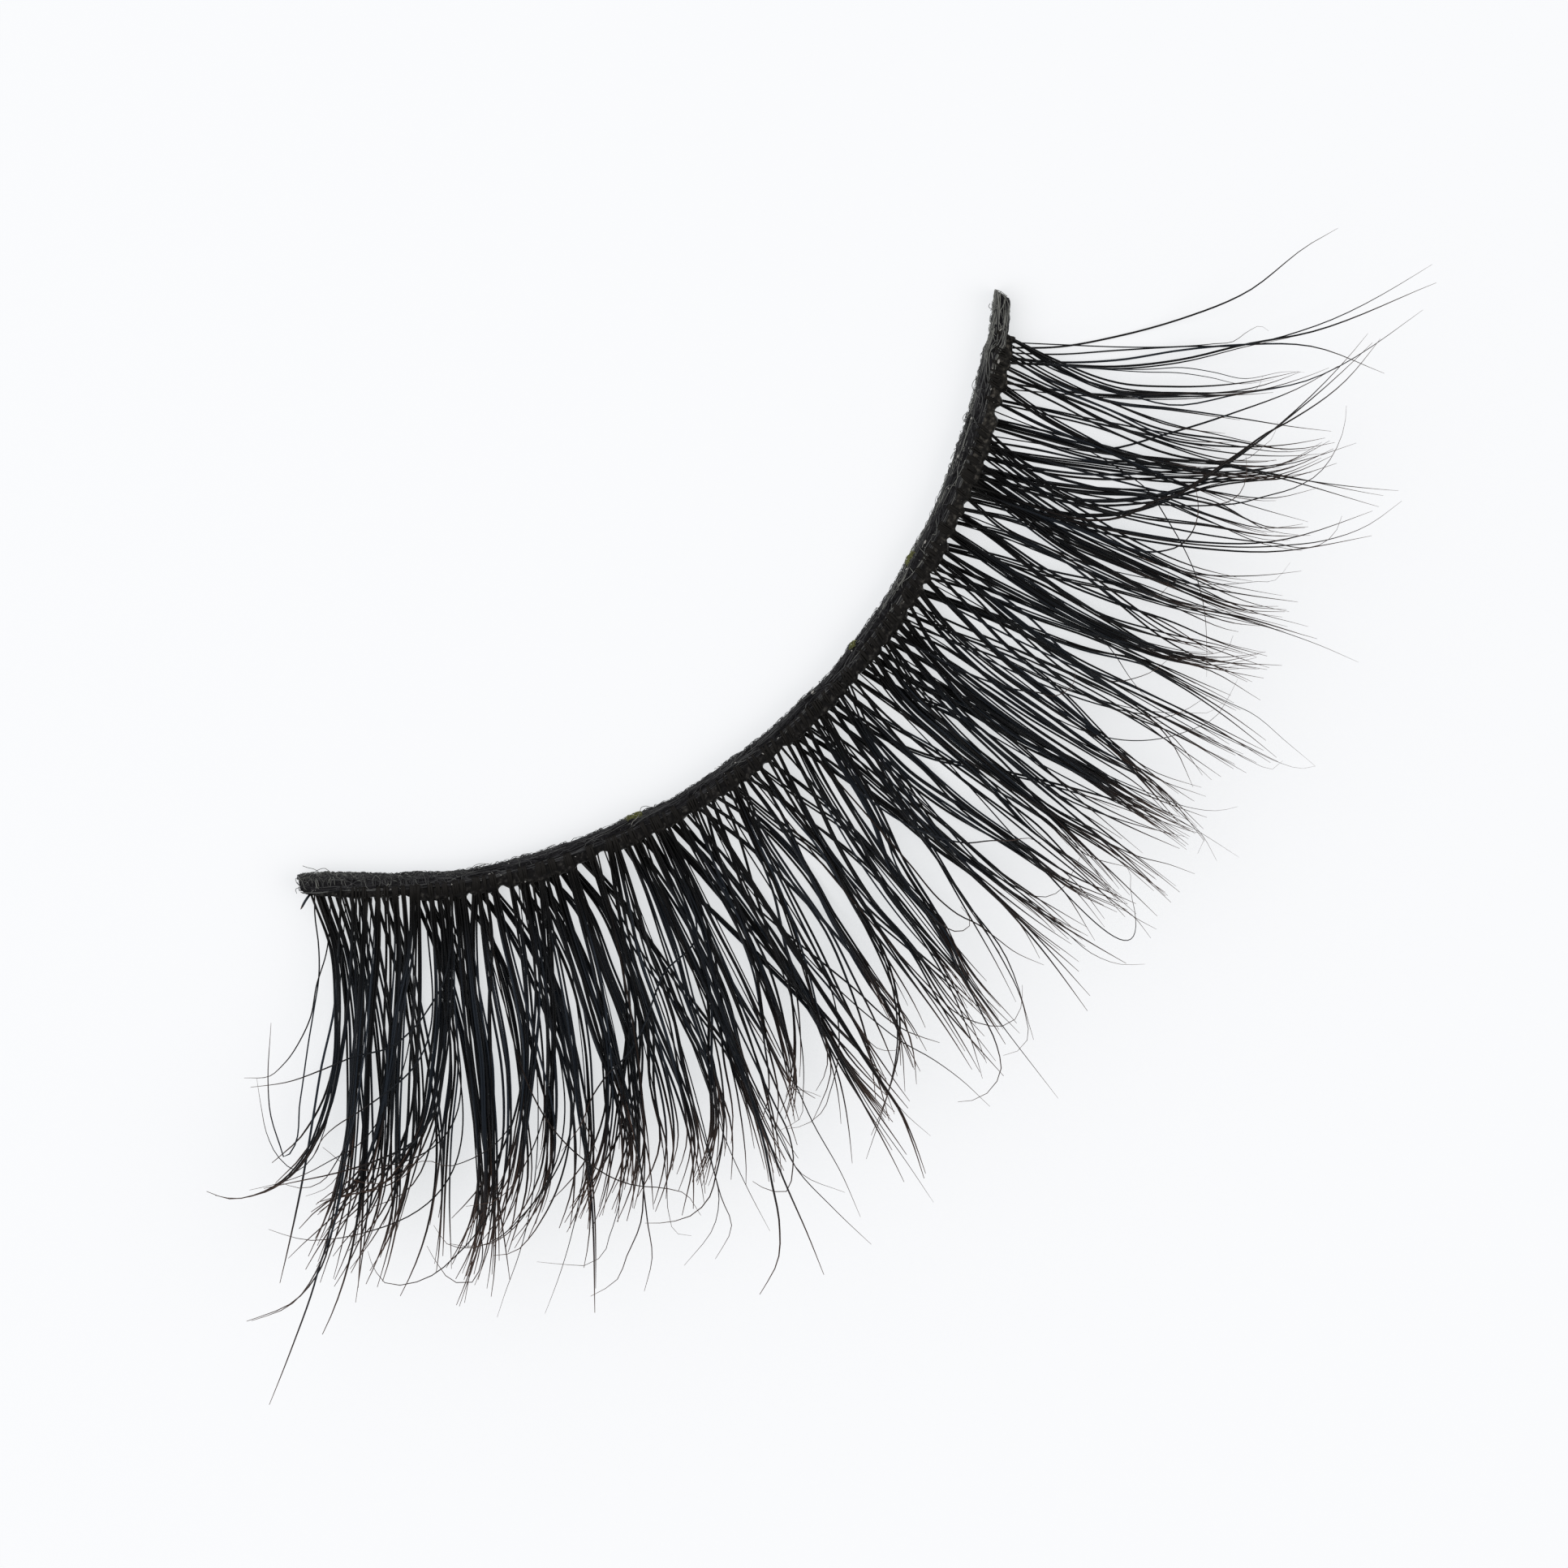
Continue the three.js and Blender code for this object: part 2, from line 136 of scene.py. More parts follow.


# %% [markdown]
# ## A chart of the locks
# Seen from above, the lashes of a strip stand in two crossing families. The lower row leaves the
# band to the right, the upper row to the left, and locks of both meet further out in pointed spikes.
# No formula gives that order, so the locks are charted one by one. Each row of the chart is a lock: its
# place along the band at the root, then at 2, 4, 6, 8 and 10 mm out from the band, then its tip's
# place, how far out the tip is, and how many hairs lie side by side in it. All places are in mm from
# the band's middle. A lock whose tip is nearer than a column's distance has None there.

# %% The chart
CHART_OUT = [2, 4, 6, 8, 10]
LOWER_LOCKS = [
    (-15.85, -15.2, -14.97, -14.97, -15.35, None, -15.95, 9.3, 2),
    (-15.65, -15.05, -14.8, -14.9, -15.25, None, -15.75, 9.25, 2),
    (-15.5, -14.92, -14.6, -14.5, -14.5, -14.65, -15.1, 12.6, 3),
    (-15.3, -14.75, -14.4, -14.42, -14.5, -14.5, -15.05, 12.4, 3),
    (-15.05, -14.55, -14.3, -14.3, -14.2, -14.4, -15.3, 12.3, 3),
    (-14.85, -14.4, -14.15, -14.1, -14.1, -14.1, -14.35, 13.2, 3),
    (-14.6, -14.3, -13.97, -13.8, -13.75, -14.0, -14.7, 11.9, 3),
    (-14.35, -14.05, -13.7, -13.6, -13.8, -14.4, -15.0, 10.8, 3),
    (-14.05, -13.8, -13.55, -13.45, -13.45, -13.4, -13.6, 12.8, 3),
    (-13.85, -13.45, -13.1, -12.95, -13.2, -13.95, -14.7, 11.3, 2),
    (-13.6, -13.2, -12.95, -12.85, -12.95, -13.35, -13.6, 12.6, 3),
    (-13.35, -13.0, -12.75, -12.55, -12.45, -12.5, -12.75, 13.2, 3),
    (-12.65, -12.2, -11.85, -11.65, -11.6, -11.7, -12.2, 13.4, 3),
    (-12.4, -12.05, -11.75, -11.6, -11.55, -11.6, -12.3, 13.5, 3),
    (-12.2, -11.75, -11.45, -11.35, -11.4, -11.45, -11.45, 13.3, 3),
    (-11.9, -11.5, -11.25, -11.2, -11.3, -11.5, -11.8, 12.5, 3),
    (-11.2, -10.57, -10.17, -10.22, -10.65, -11.25, -11.7, 11.3, 2),
    (-10.72, -10.55, -10.4, -10.42, -10.55, -10.75, -11.3, 12.0, 2),
    (-10.65, -9.97, -9.55, -9.3, -9.25, -9.4, -9.55, 11.7, 2),
    (-10.3, -9.65, -9.2, -9.12, -9.2, -9.3, -9.55, 11.8, 3),
    (-9.65, -9.27, -9.1, -9.15, -9.2, -9.25, -9.5, 11.6, 2),
    (-9.4, -8.87, -8.58, -8.67, -8.95, -9.25, -9.8, 11.9, 2),
    (-9.0, -8.55, -8.4, -8.4, -8.3, -8.35, -8.45, 11.6, 3),
    (-8.8, -8.35, -8.1, -8.1, -8.15, -8.2, -8.3, 11.5, 3),
    (-8.5, -7.85, -7.65, -7.6, -7.8, -8.05, -8.3, 11.2, 3),
    (-8.0, -7.6, -7.55, -7.55, -7.9, -8.15, -8.4, 11.6, 3),
    (-7.75, -7.25, -7.1, -7.15, -7.2, -7.4, -7.85, 12.0, 3),
    (-7.65, -7.1, -6.9, -6.9, -6.85, -6.95, -7.3, 11.3, 3),
    (-7.3, -6.68, -6.2, -5.85, -5.5, -5.4, -5.35, 12.2, 2),
    (-7.15, -6.65, -6.3, -6.3, -6.2, -6.3, -6.8, 11.6, 3),
    (-7.0, -6.85, -6.6, -6.2, -6.05, -6.3, -6.85, 11.7, 1),
    (-5.85, -5.6, -5.45, -5.42, -5.42, -5.45, -5.35, 12.1, 3),
    (-5.55, -5.28, -5.08, -5.1, -5.3, -5.45, -5.4, 11.8, 3),
    (-5.3, -4.87, -4.8, -4.8, -4.7, -4.55, -4.35, 10.5, 3),
    (-5.0, -4.85, -4.3, -3.8, -3.4, -3.25, -2.95, 12.0, 2),
    (-4.7, -4.27, -3.9, -3.97, -4.15, -4.45, -4.75, 10.75, 2),
    (-4.6, -4.2, -3.8, -3.45, -3.4, -3.45, -3.35, 13.0, 3),
    (-4.25, -3.85, -3.6, -3.5, -3.35, -3.3, -2.95, 12.0, 3),
    (-4.1, -3.65, -3.4, -3.35, -3.35, -3.1, -2.93, 12.2, 2),
    (-3.9, -3.65, -3.38, -2.87, -2.3, -1.75, -1.3, 10.8, 1),
    (-3.7, -3.4, -3.12, -3.1, -2.93, -2.9, -2.9, 12.0, 2),
    (-3.3, -2.72, -2.3, -2.05, -1.9, -1.97, -2.3, 11.0, 2),
    (-3.0, -2.38, -2.15, -2.0, -1.85, -1.9, -2.1, 11.3, 2),
    (-2.65, -2.0, -1.72, -1.75, -1.8, -2.0, -2.15, 11.2, 2),
    (-2.35, -1.85, -1.6, -1.75, -1.75, -1.7, -1.75, 11.0, 3),
    (-2.0, -1.67, -1.17, -1.05, -0.78, -0.6, -0.55, 11.5, 3),
    (-1.5, -1.0, -0.98, -1.1, -1.1, -1.1, -1.15, 12.3, 2),
    (-1.3, -1.0, -0.57, -0.35, -0.33, -0.22, -0.2, 12.3, 2),
    (-1.0, -0.58, -0.05, 0.08, 0.12, 0.15, 0.2, 10.9, 2),
    (-0.65, -0.27, 0.0, 0.05, 0.1, -0.2, -0.22, 11.8, 2),
    (0.25, 0.6, 1.0, 1.2, 1.45, 1.42, 1.2, 13.2, 2),
    (0.45, 0.8, 1.1, 1.35, 1.5, 1.7, 2.0, 12.0, 2),
    (0.7, 1.1, 1.3, 1.45, 1.7, 1.98, 2.1, 11.4, 3),
    (0.95, 1.25, 1.45, 1.6, 1.75, 2.0, 2.4, 13.0, 3),
    (1.2, 1.5, 1.6, 1.8, 1.95, 2.2, 2.25, 11.0, 2),
    (1.6, 1.85, 2.0, 2.2, 2.5, 2.75, 3.1, 11.9, 3),
    (1.85, 2.15, 2.15, 2.4, 2.65, 2.75, 2.9, 11.3, 3),
    (2.1, 2.35, 2.55, 2.5, 2.7, 2.8, 3.12, 12.1, 3),
    (2.1, 2.25, 2.83, 3.72, 4.4, 4.92, 5.25, 12.0, 2),
    (2.55, 2.72, 3.1, 3.3, 3.45, 3.4, 3.5, 11.5, 2),
    (3.05, 3.25, 3.3, 3.28, 3.55, 3.6, 3.95, 11.0, 2),
    (3.4, 3.58, 3.65, 3.7, 3.72, 3.95, 3.95, 12.6, 3),
    (3.6, 3.72, 4.15, 4.15, 4.2, 4.5, 4.9, 12.0, 2),
    (3.95, 4.1, 4.4, 4.55, 4.85, 5.0, 5.25, 12.0, 3),
    (4.2, 4.4, 4.6, 4.75, 5.0, 5.1, 5.3, 12.1, 3),
    (4.6, 4.8, 4.85, 4.9, 5.0, 5.1, 5.27, 12.2, 3),
    (4.85, 5.15, 5.25, 5.3, 5.45, 5.6, 5.55, 11.2, 3),
    (5.1, 5.4, 5.45, 5.5, 5.5, 5.65, 5.55, 11.5, 2),
    (5.35, 5.7, 6.1, 6.3, 6.63, 6.72, 6.8, 12.0, 2),
    (5.65, 5.92, 6.3, 6.5, 6.63, 6.7, 6.75, 11.8, 2),
    (6.0, 6.22, 6.5, 6.7, 6.85, 6.9, 7.0, 12.4, 2),
    (6.4, 6.75, 7.0, 7.0, 7.1, 7.2, 7.23, 13.1, 3),
    (6.5, 6.8, 7.1, 7.35, 7.75, 7.8, 7.8, 11.2, 3),
    (6.95, 7.3, 7.45, 7.72, 7.83, 7.8, 7.8, 11.3, 2),
    (7.3, 7.5, 7.7, 7.8, 8.05, 8.45, 8.5, 11.7, 3),
    (7.6, 7.75, 7.85, 7.9, 8.1, 8.5, 8.95, 11.0, 3),
    (8.0, 8.3, 8.4, 8.3, 8.2, 8.5, 9.05, 11.8, 3),
    (8.1, 8.45, 8.75, 9.1, 9.3, 9.5, 9.6, 11.5, 3),
    (8.85, 9.17, 9.2, 9.2, 9.25, 9.2, 9.3, 10.8, 2),
    (9.35, 9.65, 9.75, 9.72, 9.7, 9.75, 9.9, 11.5, 2),
    (9.7, 9.9, 10.05, 10.0, 10.0, 10.2, 10.4, 11.5, 2),
    (9.9, 10.05, 10.22, 10.48, 10.78, 11.2, 12.3, 13.0, 2),
    (10.1, 10.2, 10.42, 11.15, 12.6, 14.2, 15.8, 12.0, 1),
    (10.45, 10.6, 10.8, 11.4, 12.3, 12.9, 13.5, 11.3, 3),
    (10.7, 10.8, 11.12, 11.55, 11.75, 11.6, 11.8, 11.1, 3),
    (10.75, 10.85, 11.15, 11.5, 11.4, 11.4, 11.6, 11.0, 2),
    (11.1, 11.2, 11.5, 12.0, 12.5, 12.95, 13.2, 10.6, 3),
    (11.35, 11.52, 11.8, 12.05, 12.4, 12.85, 13.4, 11.3, 5),
    (11.6, 11.8, 11.95, 12.3, 12.5, 12.95, 13.6, 12.0, 2),
    (12.1, 12.1, 12.12, 12.35, 12.6, 12.95, 13.5, 11.0, 4),
    (12.3, 12.32, 12.33, 12.35, 12.55, 12.9, 13.0, 10.2, 4),
    (12.85, 12.88, 12.87, 12.65, 12.7, 12.6, 12.45, 13.4, 1),
    (12.95, 12.98, 12.97, 13.0, 13.05, 13.2, 13.4, 10.8, 2),
    (12.2, 12.25, 12.3, 13.1, 13.9, 14.7, 15.2, 11.0, 1),
    (13.5, 13.62, 13.78, 14.05, 14.4, None, 14.9, 9.9, 2),
    (14.1, 14.3, 14.5, 14.9, 15.45, 15.9, 17.2, 13.5, 2),
    (14.3, 14.4, 14.72, 15.18, 15.47, 15.57, 15.15, 12.4, 1),
    (14.45, 14.65, 15.03, 15.32, 15.5, 16.0, 17.3, 13.6, 1),
    (14.6, 14.85, 15.4, 16.0, 16.65, 17.6, 17.85, 10.9, 1),
]
UPPER_LOCKS = [
    (-14.95, -14.95, -15.0, -15.28, -15.43, -15.5, -15.55, 12.7, 1),
    (-14.55, -14.55, -14.62, -14.8, -15.1, None, -15.9, 9.8, 2),
    (-14.4, -14.4, -14.35, -14.45, -14.55, -14.7, -14.95, 12.0, 3),
    (-14.2, -14.2, -14.2, -14.3, -14.35, -14.4, -14.5, 12.5, 3),
    (-13.75, -13.8, -13.97, -14.1, -14.15, -14.2, -14.3, 14.2, 3),
    (-13.5, -13.5, -13.6, -13.7, -13.85, -14.05, -14.7, 11.2, 2),
    (-13.2, -13.2, -13.35, -13.5, -13.6, -13.7, -13.9, 12.4, 3),
    (-12.93, -12.93, -13.15, -13.3, -13.4, -13.4, -13.55, 12.7, 2),
    (-12.7, -12.85, -13.3, -13.6, -13.9, -14.4, -15.3, 11.3, 3),
    (-12.5, -12.6, -12.75, -12.95, -13.1, -13.4, -14.1, 12.4, 3),
    (-12.1, -12.1, -12.2, -12.5, -12.9, -13.9, -15.0, 10.7, 3),
    (-11.85, -11.85, -12.0, -12.3, -12.7, -13.35, -13.9, 10.6, 3),
    (-11.65, -11.7, -11.9, -12.0, -12.3, -12.5, -12.6, 12.4, 3),
    (-11.3, -11.35, -11.45, -11.5, -11.5, -11.55, -11.9, 12.9, 4),
    (-11.1, -11.15, -11.2, -11.2, -11.35, -11.45, -11.5, 12.6, 4),
    (-10.7, -11.0, -11.2, -11.2, -11.3, -11.45, -11.8, 12.8, 3),
    (-10.4, -10.48, -10.85, -11.1, -11.25, -11.4, -11.4, 13.0, 2),
    (-10.6, -10.68, -10.7, -10.7, -10.9, -11.2, -11.5, 11.6, 2),
    (-10.15, -10.15, -10.1, -10.2, -10.65, -11.1, -11.5, 11.0, 2),
    (-10.1, -10.1, -10.05, -9.98, -9.95, -10.25, -10.9, 11.9, 3),
    (-9.58, -9.65, -9.82, -10.1, -10.5, -10.8, -10.9, 11.9, 2),
    (-9.2, -9.25, -9.5, -9.97, -10.45, -10.9, -11.6, 12.0, 2),
    (-9.1, -9.2, -9.4, -9.55, -9.8, -10.2, -10.6, 11.3, 3),
    (-8.6, -8.85, -9.22, -9.55, -9.95, -10.3, -11.0, 12.0, 4),
    (-8.65, -8.72, -8.83, -8.97, -9.2, -9.3, -9.8, 14.3, 2),
    (-8.45, -8.48, -8.45, -8.4, -8.3, -8.3, -8.4, 11.5, 2),
    (-8.25, -8.25, -8.22, -8.2, -8.55, -8.9, -9.4, 11.6, 2),
    (-8.15, -8.2, -8.2, -8.2, -8.15, -8.2, -8.45, 11.6, 3),
    (-7.7, -7.8, -7.9, -8.15, -8.5, -9.1, -9.6, 11.3, 3),
    (-7.6, -7.62, -7.65, -7.6, -7.85, -8.05, -8.35, 12.0, 3),
    (-6.95, -7.0, -7.1, -7.5, -8.15, -8.65, -9.0, 12.0, 3),
    (-6.8, -6.88, -6.95, -7.2, -7.75, -8.6, -9.3, 11.5, 1),
    (-6.3, -6.6, -6.88, -7.0, -7.45, -7.6, -8.0, 11.5, 2),
    (-6.15, -6.4, -6.7, -6.75, -6.85, -7.0, -7.75, 12.1, 3),
    (-6.05, -6.2, -6.4, -6.45, -6.7, -6.85, -6.9, 12.0, 2),
    (-5.75, -5.75, -5.88, -6.0, -6.1, -6.35, -6.8, 11.7, 3),
    (-5.5, -5.52, -5.6, -5.85, -5.97, -6.3, -6.85, 11.7, 2),
    (-5.45, -5.42, -5.4, -5.38, -5.4, -5.42, -5.35, 11.9, 3),
    (-5.05, -5.05, -5.1, -5.4, -6.0, -6.4, -6.9, 11.6, 2),
    (-4.7, -4.75, -4.87, -5.25, -5.45, -5.5, -5.4, 12.0, 3),
    (-4.55, -4.6, -4.75, -4.85, -5.0, -5.15, -5.35, 12.1, 2),
    (-4.35, -4.5, -4.75, -5.15, -5.6, -5.75, -5.9, 11.0, 2),
    (-4.55, -4.45, -4.5, -4.5, -4.6, -4.65, -4.75, 10.8, 1),
    (-3.95, -3.93, -3.9, -4.05, -4.2, -4.5, -4.75, 10.7, 4),
    (-3.45, -3.6, -3.75, -3.85, -4.15, -4.45, -4.8, 10.8, 2),
    (-3.3, -3.55, -3.85, -4.15, -4.72, -5.2, -5.5, 10.7, 2),
    (-3.0, -3.42, -3.7, -4.0, -4.3, -4.65, -4.75, 10.8, 2),
    (-2.75, -3.07, -3.42, -3.4, -3.85, -4.5, -4.75, 10.6, 3),
    (-2.4, -2.7, -3.2, -3.5, -3.4, -3.45, -3.4, 14.0, 2),
    (-2.15, -2.4, -2.72, -3.25, -3.45, -3.7, -4.3, 12.7, 2),
    (-1.95, -2.25, -2.5, -2.85, -3.27, -3.75, -4.6, 11.0, 3),
    (-1.9, -2.13, -2.3, -2.47, -2.65, -2.75, -2.9, 12.2, 2),
    (-1.95, -2.27, -2.52, -2.7, -2.7, -2.75, -2.9, 12.1, 2),
    (-1.65, -1.98, -2.05, -2.05, -2.3, -2.6, -2.9, 11.5, 2),
    (-1.5, -1.47, -1.58, -1.8, -1.85, -2.0, -2.1, 11.4, 4),
    (-1.15, -1.27, -1.57, -1.8, -1.9, -1.9, -2.4, 11.8, 2),
    (-0.95, -1.05, -0.98, -1.2, -1.4, -1.6, -1.75, 11.3, 3),
    (-0.6, -0.8, -0.95, -1.1, -1.35, -2.0, -3.9, 12.9, 2),
    (-0.45, -0.65, -0.92, -1.05, -1.15, -1.15, -1.2, 13.0, 2),
    (-0.2, -0.55, -0.85, -0.82, -0.75, -0.9, -0.95, 12.5, 2),
    (0.2, -0.12, -0.57, -0.78, -0.75, -0.9, -0.95, 12.5, 2),
    (0.45, 0.1, -0.2, -0.35, -0.38, -0.25, -0.22, 11.8, 4),
    (0.75, 0.35, 0.05, -0.3, -0.35, -0.5, -0.9, 12.8, 3),
    (1.0, 0.6, 0.3, 0.1, 0.1, -0.15, -0.2, 12.0, 3),
    (1.3, 1.0, 0.65, 0.08, 0.15, -0.2, -0.22, 12.3, 4),
    (1.55, 1.15, 0.72, 0.4, 0.2, -0.15, -0.3, 11.5, 3),
    (1.7, 1.3, 0.9, 0.42, 0.18, -0.2, -0.25, 11.9, 3),
    (2.0, 1.7, 1.4, 1.17, 0.85, 0.55, 0.3, 11.5, 2),
    (2.05, 1.72, 1.45, 1.2, 0.88, 0.7, -0.1, 12.6, 1),
    (2.3, 2.0, 1.6, 1.45, 1.5, 1.45, 1.3, 11.0, 2),
    (2.45, 2.1, 1.8, 1.65, 1.6, 1.72, 2.0, 11.8, 3),
    (2.85, 2.2, 1.87, 1.55, 1.75, 2.0, 2.2, 11.5, 2),
    (2.6, 2.55, 2.52, 2.55, 2.7, 2.8, 2.55, 11.9, 3),
    (3.1, 2.75, 2.55, 2.6, 2.75, 2.75, 3.1, 12.0, 2),
    (3.0, 2.88, 2.9, 2.98, 3.1, 3.15, 3.15, 12.0, 1),
    (3.8, 3.45, 3.35, 3.28, 3.1, 3.17, 3.15, 12.2, 3),
    (4.05, 3.6, 3.5, 3.55, 3.6, 3.5, 3.3, 12.7, 3),
    (4.25, 3.85, 3.7, 3.65, 3.65, 3.55, 3.4, 11.7, 3),
    (4.6, 4.1, 3.8, 3.7, 3.75, 3.95, 3.97, 12.6, 4),
    (4.7, 4.35, 4.1, 3.95, 3.75, 3.95, 3.95, 12.0, 2),
    (5.0, 4.6, 4.25, 4.12, 4.05, 4.0, 3.97, 12.8, 3),
    (5.2, 4.9, 4.55, 4.5, 4.4, 4.5, 4.7, 11.8, 3),
    (5.3, 5.0, 4.75, 4.75, 4.85, 5.0, 5.2, 11.9, 4),
    (5.55, 5.1, 4.9, 4.9, 4.95, 5.05, 5.25, 12.0, 4),
    (6.0, 5.3, 5.1, 5.05, 5.1, 5.1, 5.27, 12.1, 3),
    (6.2, 5.77, 5.5, 5.45, 5.45, 5.6, 5.3, 12.5, 3),
    (6.5, 6.0, 5.75, 5.72, 5.75, 5.65, 5.5, 11.3, 3),
    (6.9, 6.5, 6.1, 5.95, 5.8, 5.6, 5.5, 11.5, 4),
    (6.95, 6.55, 6.15, 6.0, 5.85, 5.85, 6.2, 11.6, 2),
    (7.3, 6.87, 6.4, 6.2, 5.85, 5.55, 5.3, 12.0, 2),
    (7.45, 7.2, 6.7, 6.45, 6.5, 6.75, 6.8, 12.0, 2),
    (7.6, 7.35, 7.0, 6.75, 6.8, 6.6, 6.2, 11.4, 2),
    (7.7, 7.45, 7.15, 6.95, 6.85, 6.9, 7.05, 12.5, 3),
    (7.9, 7.65, 7.35, 6.95, 7.1, 7.2, 7.25, 12.5, 1),
    (7.95, 7.83, 7.83, 7.82, 7.8, 7.8, 7.7, 13.0, 3),
    (8.5, 8.27, 8.08, 8.02, 8.1, 8.45, 8.7, 11.5, 4),
    (8.6, 8.4, 8.12, 8.05, 8.15, 8.5, 9.0, 11.0, 4),
    (9.15, 8.9, 8.5, 8.3, 8.5, 8.85, 8.95, 11.0, 2),
    (9.25, 9.0, 8.7, 8.75, 8.9, 8.9, 9.0, 11.3, 2),
    (9.75, 9.27, 9.18, 8.85, 8.55, 8.5, 8.5, 11.5, 2),
    (10.3, 9.93, 9.5, 9.35, 9.3, 9.55, 9.65, 12.5, 5),
    (10.4, 10.02, 9.75, 9.72, 9.7, 9.75, 10.0, 11.3, 5),
    (10.62, 10.28, 9.85, 9.75, 9.7, 9.8, 10.0, 11.2, 3),
    (10.85, 10.48, 10.12, 10.05, 9.98, 9.95, 10.2, 12.0, 3),
    (11.15, 10.72, 10.33, 10.12, 10.02, None, 10.3, 10.0, 3),
    (11.45, 10.95, 10.5, 10.2, 10.1, 10.25, 10.35, 11.0, 3),
    (11.7, 11.1, 10.78, 10.9, 11.22, 11.5, 11.8, 11.1, 3),
    (11.9, 11.3, 11.25, 11.45, 11.4, 11.4, 11.6, 11.0, 2),
    (12.85, 12.53, 12.3, 12.05, 12.0, 12.05, 12.1, 11.0, 2),
    (13.3, 12.75, 12.38, 12.35, 12.5, 12.9, 13.1, 10.6, 3),
    (13.45, 12.85, 12.42, 12.05, 12.0, 12.1, 12.4, 11.2, 2),
    (13.6, 13.3, 12.85, 12.6, 12.65, 12.65, 12.5, 13.0, 2),
    (13.75, 13.5, 13.05, 12.85, 12.7, None, 12.75, 9.8, 2),
    (14.0, 13.6, 13.3, 12.98, 13.05, 13.3, 13.5, 11.0, 3),
    (14.3, 13.85, 13.58, 13.7, 13.78, 13.83, 13.88, 11.05, 2),
    (14.4, 13.85, 13.48, 13.22, 13.3, 13.4, 13.7, 11.2, 2),
    (14.55, 14.0, 13.55, 13.35, 13.45, None, 13.6, 9.8, 1),
    (14.75, 14.2, 13.95, 13.8, 14.3, 14.75, 16.3, 13.5, 1),
    (14.9, 14.4, 14.02, 14.17, 14.5, None, 14.95, 9.8, 3),
    (14.95, 14.3, 13.9, 14.1, 14.4, 14.9, 15.1, 10.7, 2),
]
print(len(LOWER_LOCKS), "lower and", len(UPPER_LOCKS), "upper locks")

# %% [markdown]
# ## The hairs of a row
# A curve through a lock's charted points gives its middle line. Its hairs lie side by side across
# that line, close together at the root, looser half way out and close again in the spike. Each has a
# length, a bend and a layer of its own, because such small differences make a bundle look like hair
# and not like a comb. Where the strip is densest a lock gets one hair more than its row says, and the
# tips on the left sweep further to the left. The upper hairs start on top of the glue and drop over
# its edge, so all rings are packed closer near the root. Below, a list whose name ends in ALONG holds
# places along the band, and its partner holds what it sets there.

# %% How the hairs of a lock are spread
SEED = 41
random = np.random.default_rng(SEED)
RING_SHARES = np.linspace(0, 1, 36) ** 1.4
ROOT_OUT = 0.45
HAIR_START = 0.27
DENSE_SPANS = [(-13.3, -4), (3.3, 4.5), (8.4, 11)]
RADIUS_ALONG = [-5, 3, 13]
HAIR_RADII = [0.033, 0.031, 0.028]
THICK_SHARES = [0.0, 0.35, 0.62, 0.8, 0.92, 1.0]
LEFT_TO_RIGHT = [-5, 4]
LEFT_THICKNESS = [1.06, 1.1, 1.1, 0.94, 0.62, 0.28]
RIGHT_THICKNESS = [1.1, 1.12, 1.02, 0.72, 0.4, 0.15]
SHORTER_ALONG, SHORTER_BY = [-14.5, -12.5, 7, 13], [0.36, 0.2, 0.2, 0.42]
TIP_BEND = 0.3
SEAT_JITTER = 0.42
SEAT_DRIFT = 1.2
WAVER = 0.045
SPACING_SHARES = [0.06, 0.2, 0.4, 0.8, 1.0]
SPACINGS = [1.15, 1.8, 2.3, 1.75, 1.3]
LAYER_SHARES = [0.0, 0.5, 1.0]
LAYER_SPREADS = [0.75, 1.0, 2.2]
LIFT_JITTER = 0.25
SWEEP_ALONG = [-15.5, -14.5, -9, -3, 16]
SWEEPS = [-0.05, -0.6, -0.45, -0.12, 0.06]
# A hair's tone sets its colour along the middle: near 0 a painted cool sheen, near 1 a brown.
TONE_ALONG, LOWEST_TONES, TONE_SPREAD = [-4, 8], [0, 0.1], 0.75
TIP_ROOM = 0.4
PERCH_OUT = [0.1, 0.3, 0.5, 0.75, 1.05]
PERCH_HEIGHTS = [0.84, 0.82, 0.75, 0.52, 0.0]
print("hair radii in mm, left to right:", HAIR_RADII)


# %% A smooth curve through charted points
def curve_through(points, shares):
    """Places and directions at shares of the length of a smooth curve through points (n, 2)."""
    points = np.asarray(points, float)
    steps = np.linalg.norm(np.diff(points, axis=0), axis=1)
    knots = np.concatenate([[0], np.cumsum(steps)])
    slopes = np.gradient(points, knots, axis=0)
    at = shares * knots[-1]
    i = np.clip(np.searchsorted(knots, at, side="right") - 1, 0, len(steps) - 1)
    span = steps[i][..., None]
    t = ((at - knots[i]) / steps[i])[..., None]
    places = (
        (2 * t**3 - 3 * t**2 + 1) * points[i] + (t**3 - 2 * t**2 + t) * span * slopes[i]
        + (3 * t**2 - 2 * t**3) * points[i + 1] + (t**3 - t**2) * span * slopes[i + 1]
    )
    ways = (
        (6 * t**2 - 6 * t) * (points[i] - points[i + 1]) / span + (3 * t**2 - 4 * t + 1) * slopes[i]
        + (3 * t**2 - 2 * t) * slopes[i + 1]
    )
    return places, ways


# %% The hairs of one lock
def tapered(share, radii, along):
    """Radii of hairs rooted at a place along the band: thickest in the middle, with a fine point."""
    right = np.interp(along, LEFT_TO_RIGHT, [0, 1])
    left_part = (1 - right) * np.interp(share, THICK_SHARES, LEFT_THICKNESS)
    return radii[:, None] * (left_part + right * np.interp(share, THICK_SHARES, RIGHT_THICKNESS))


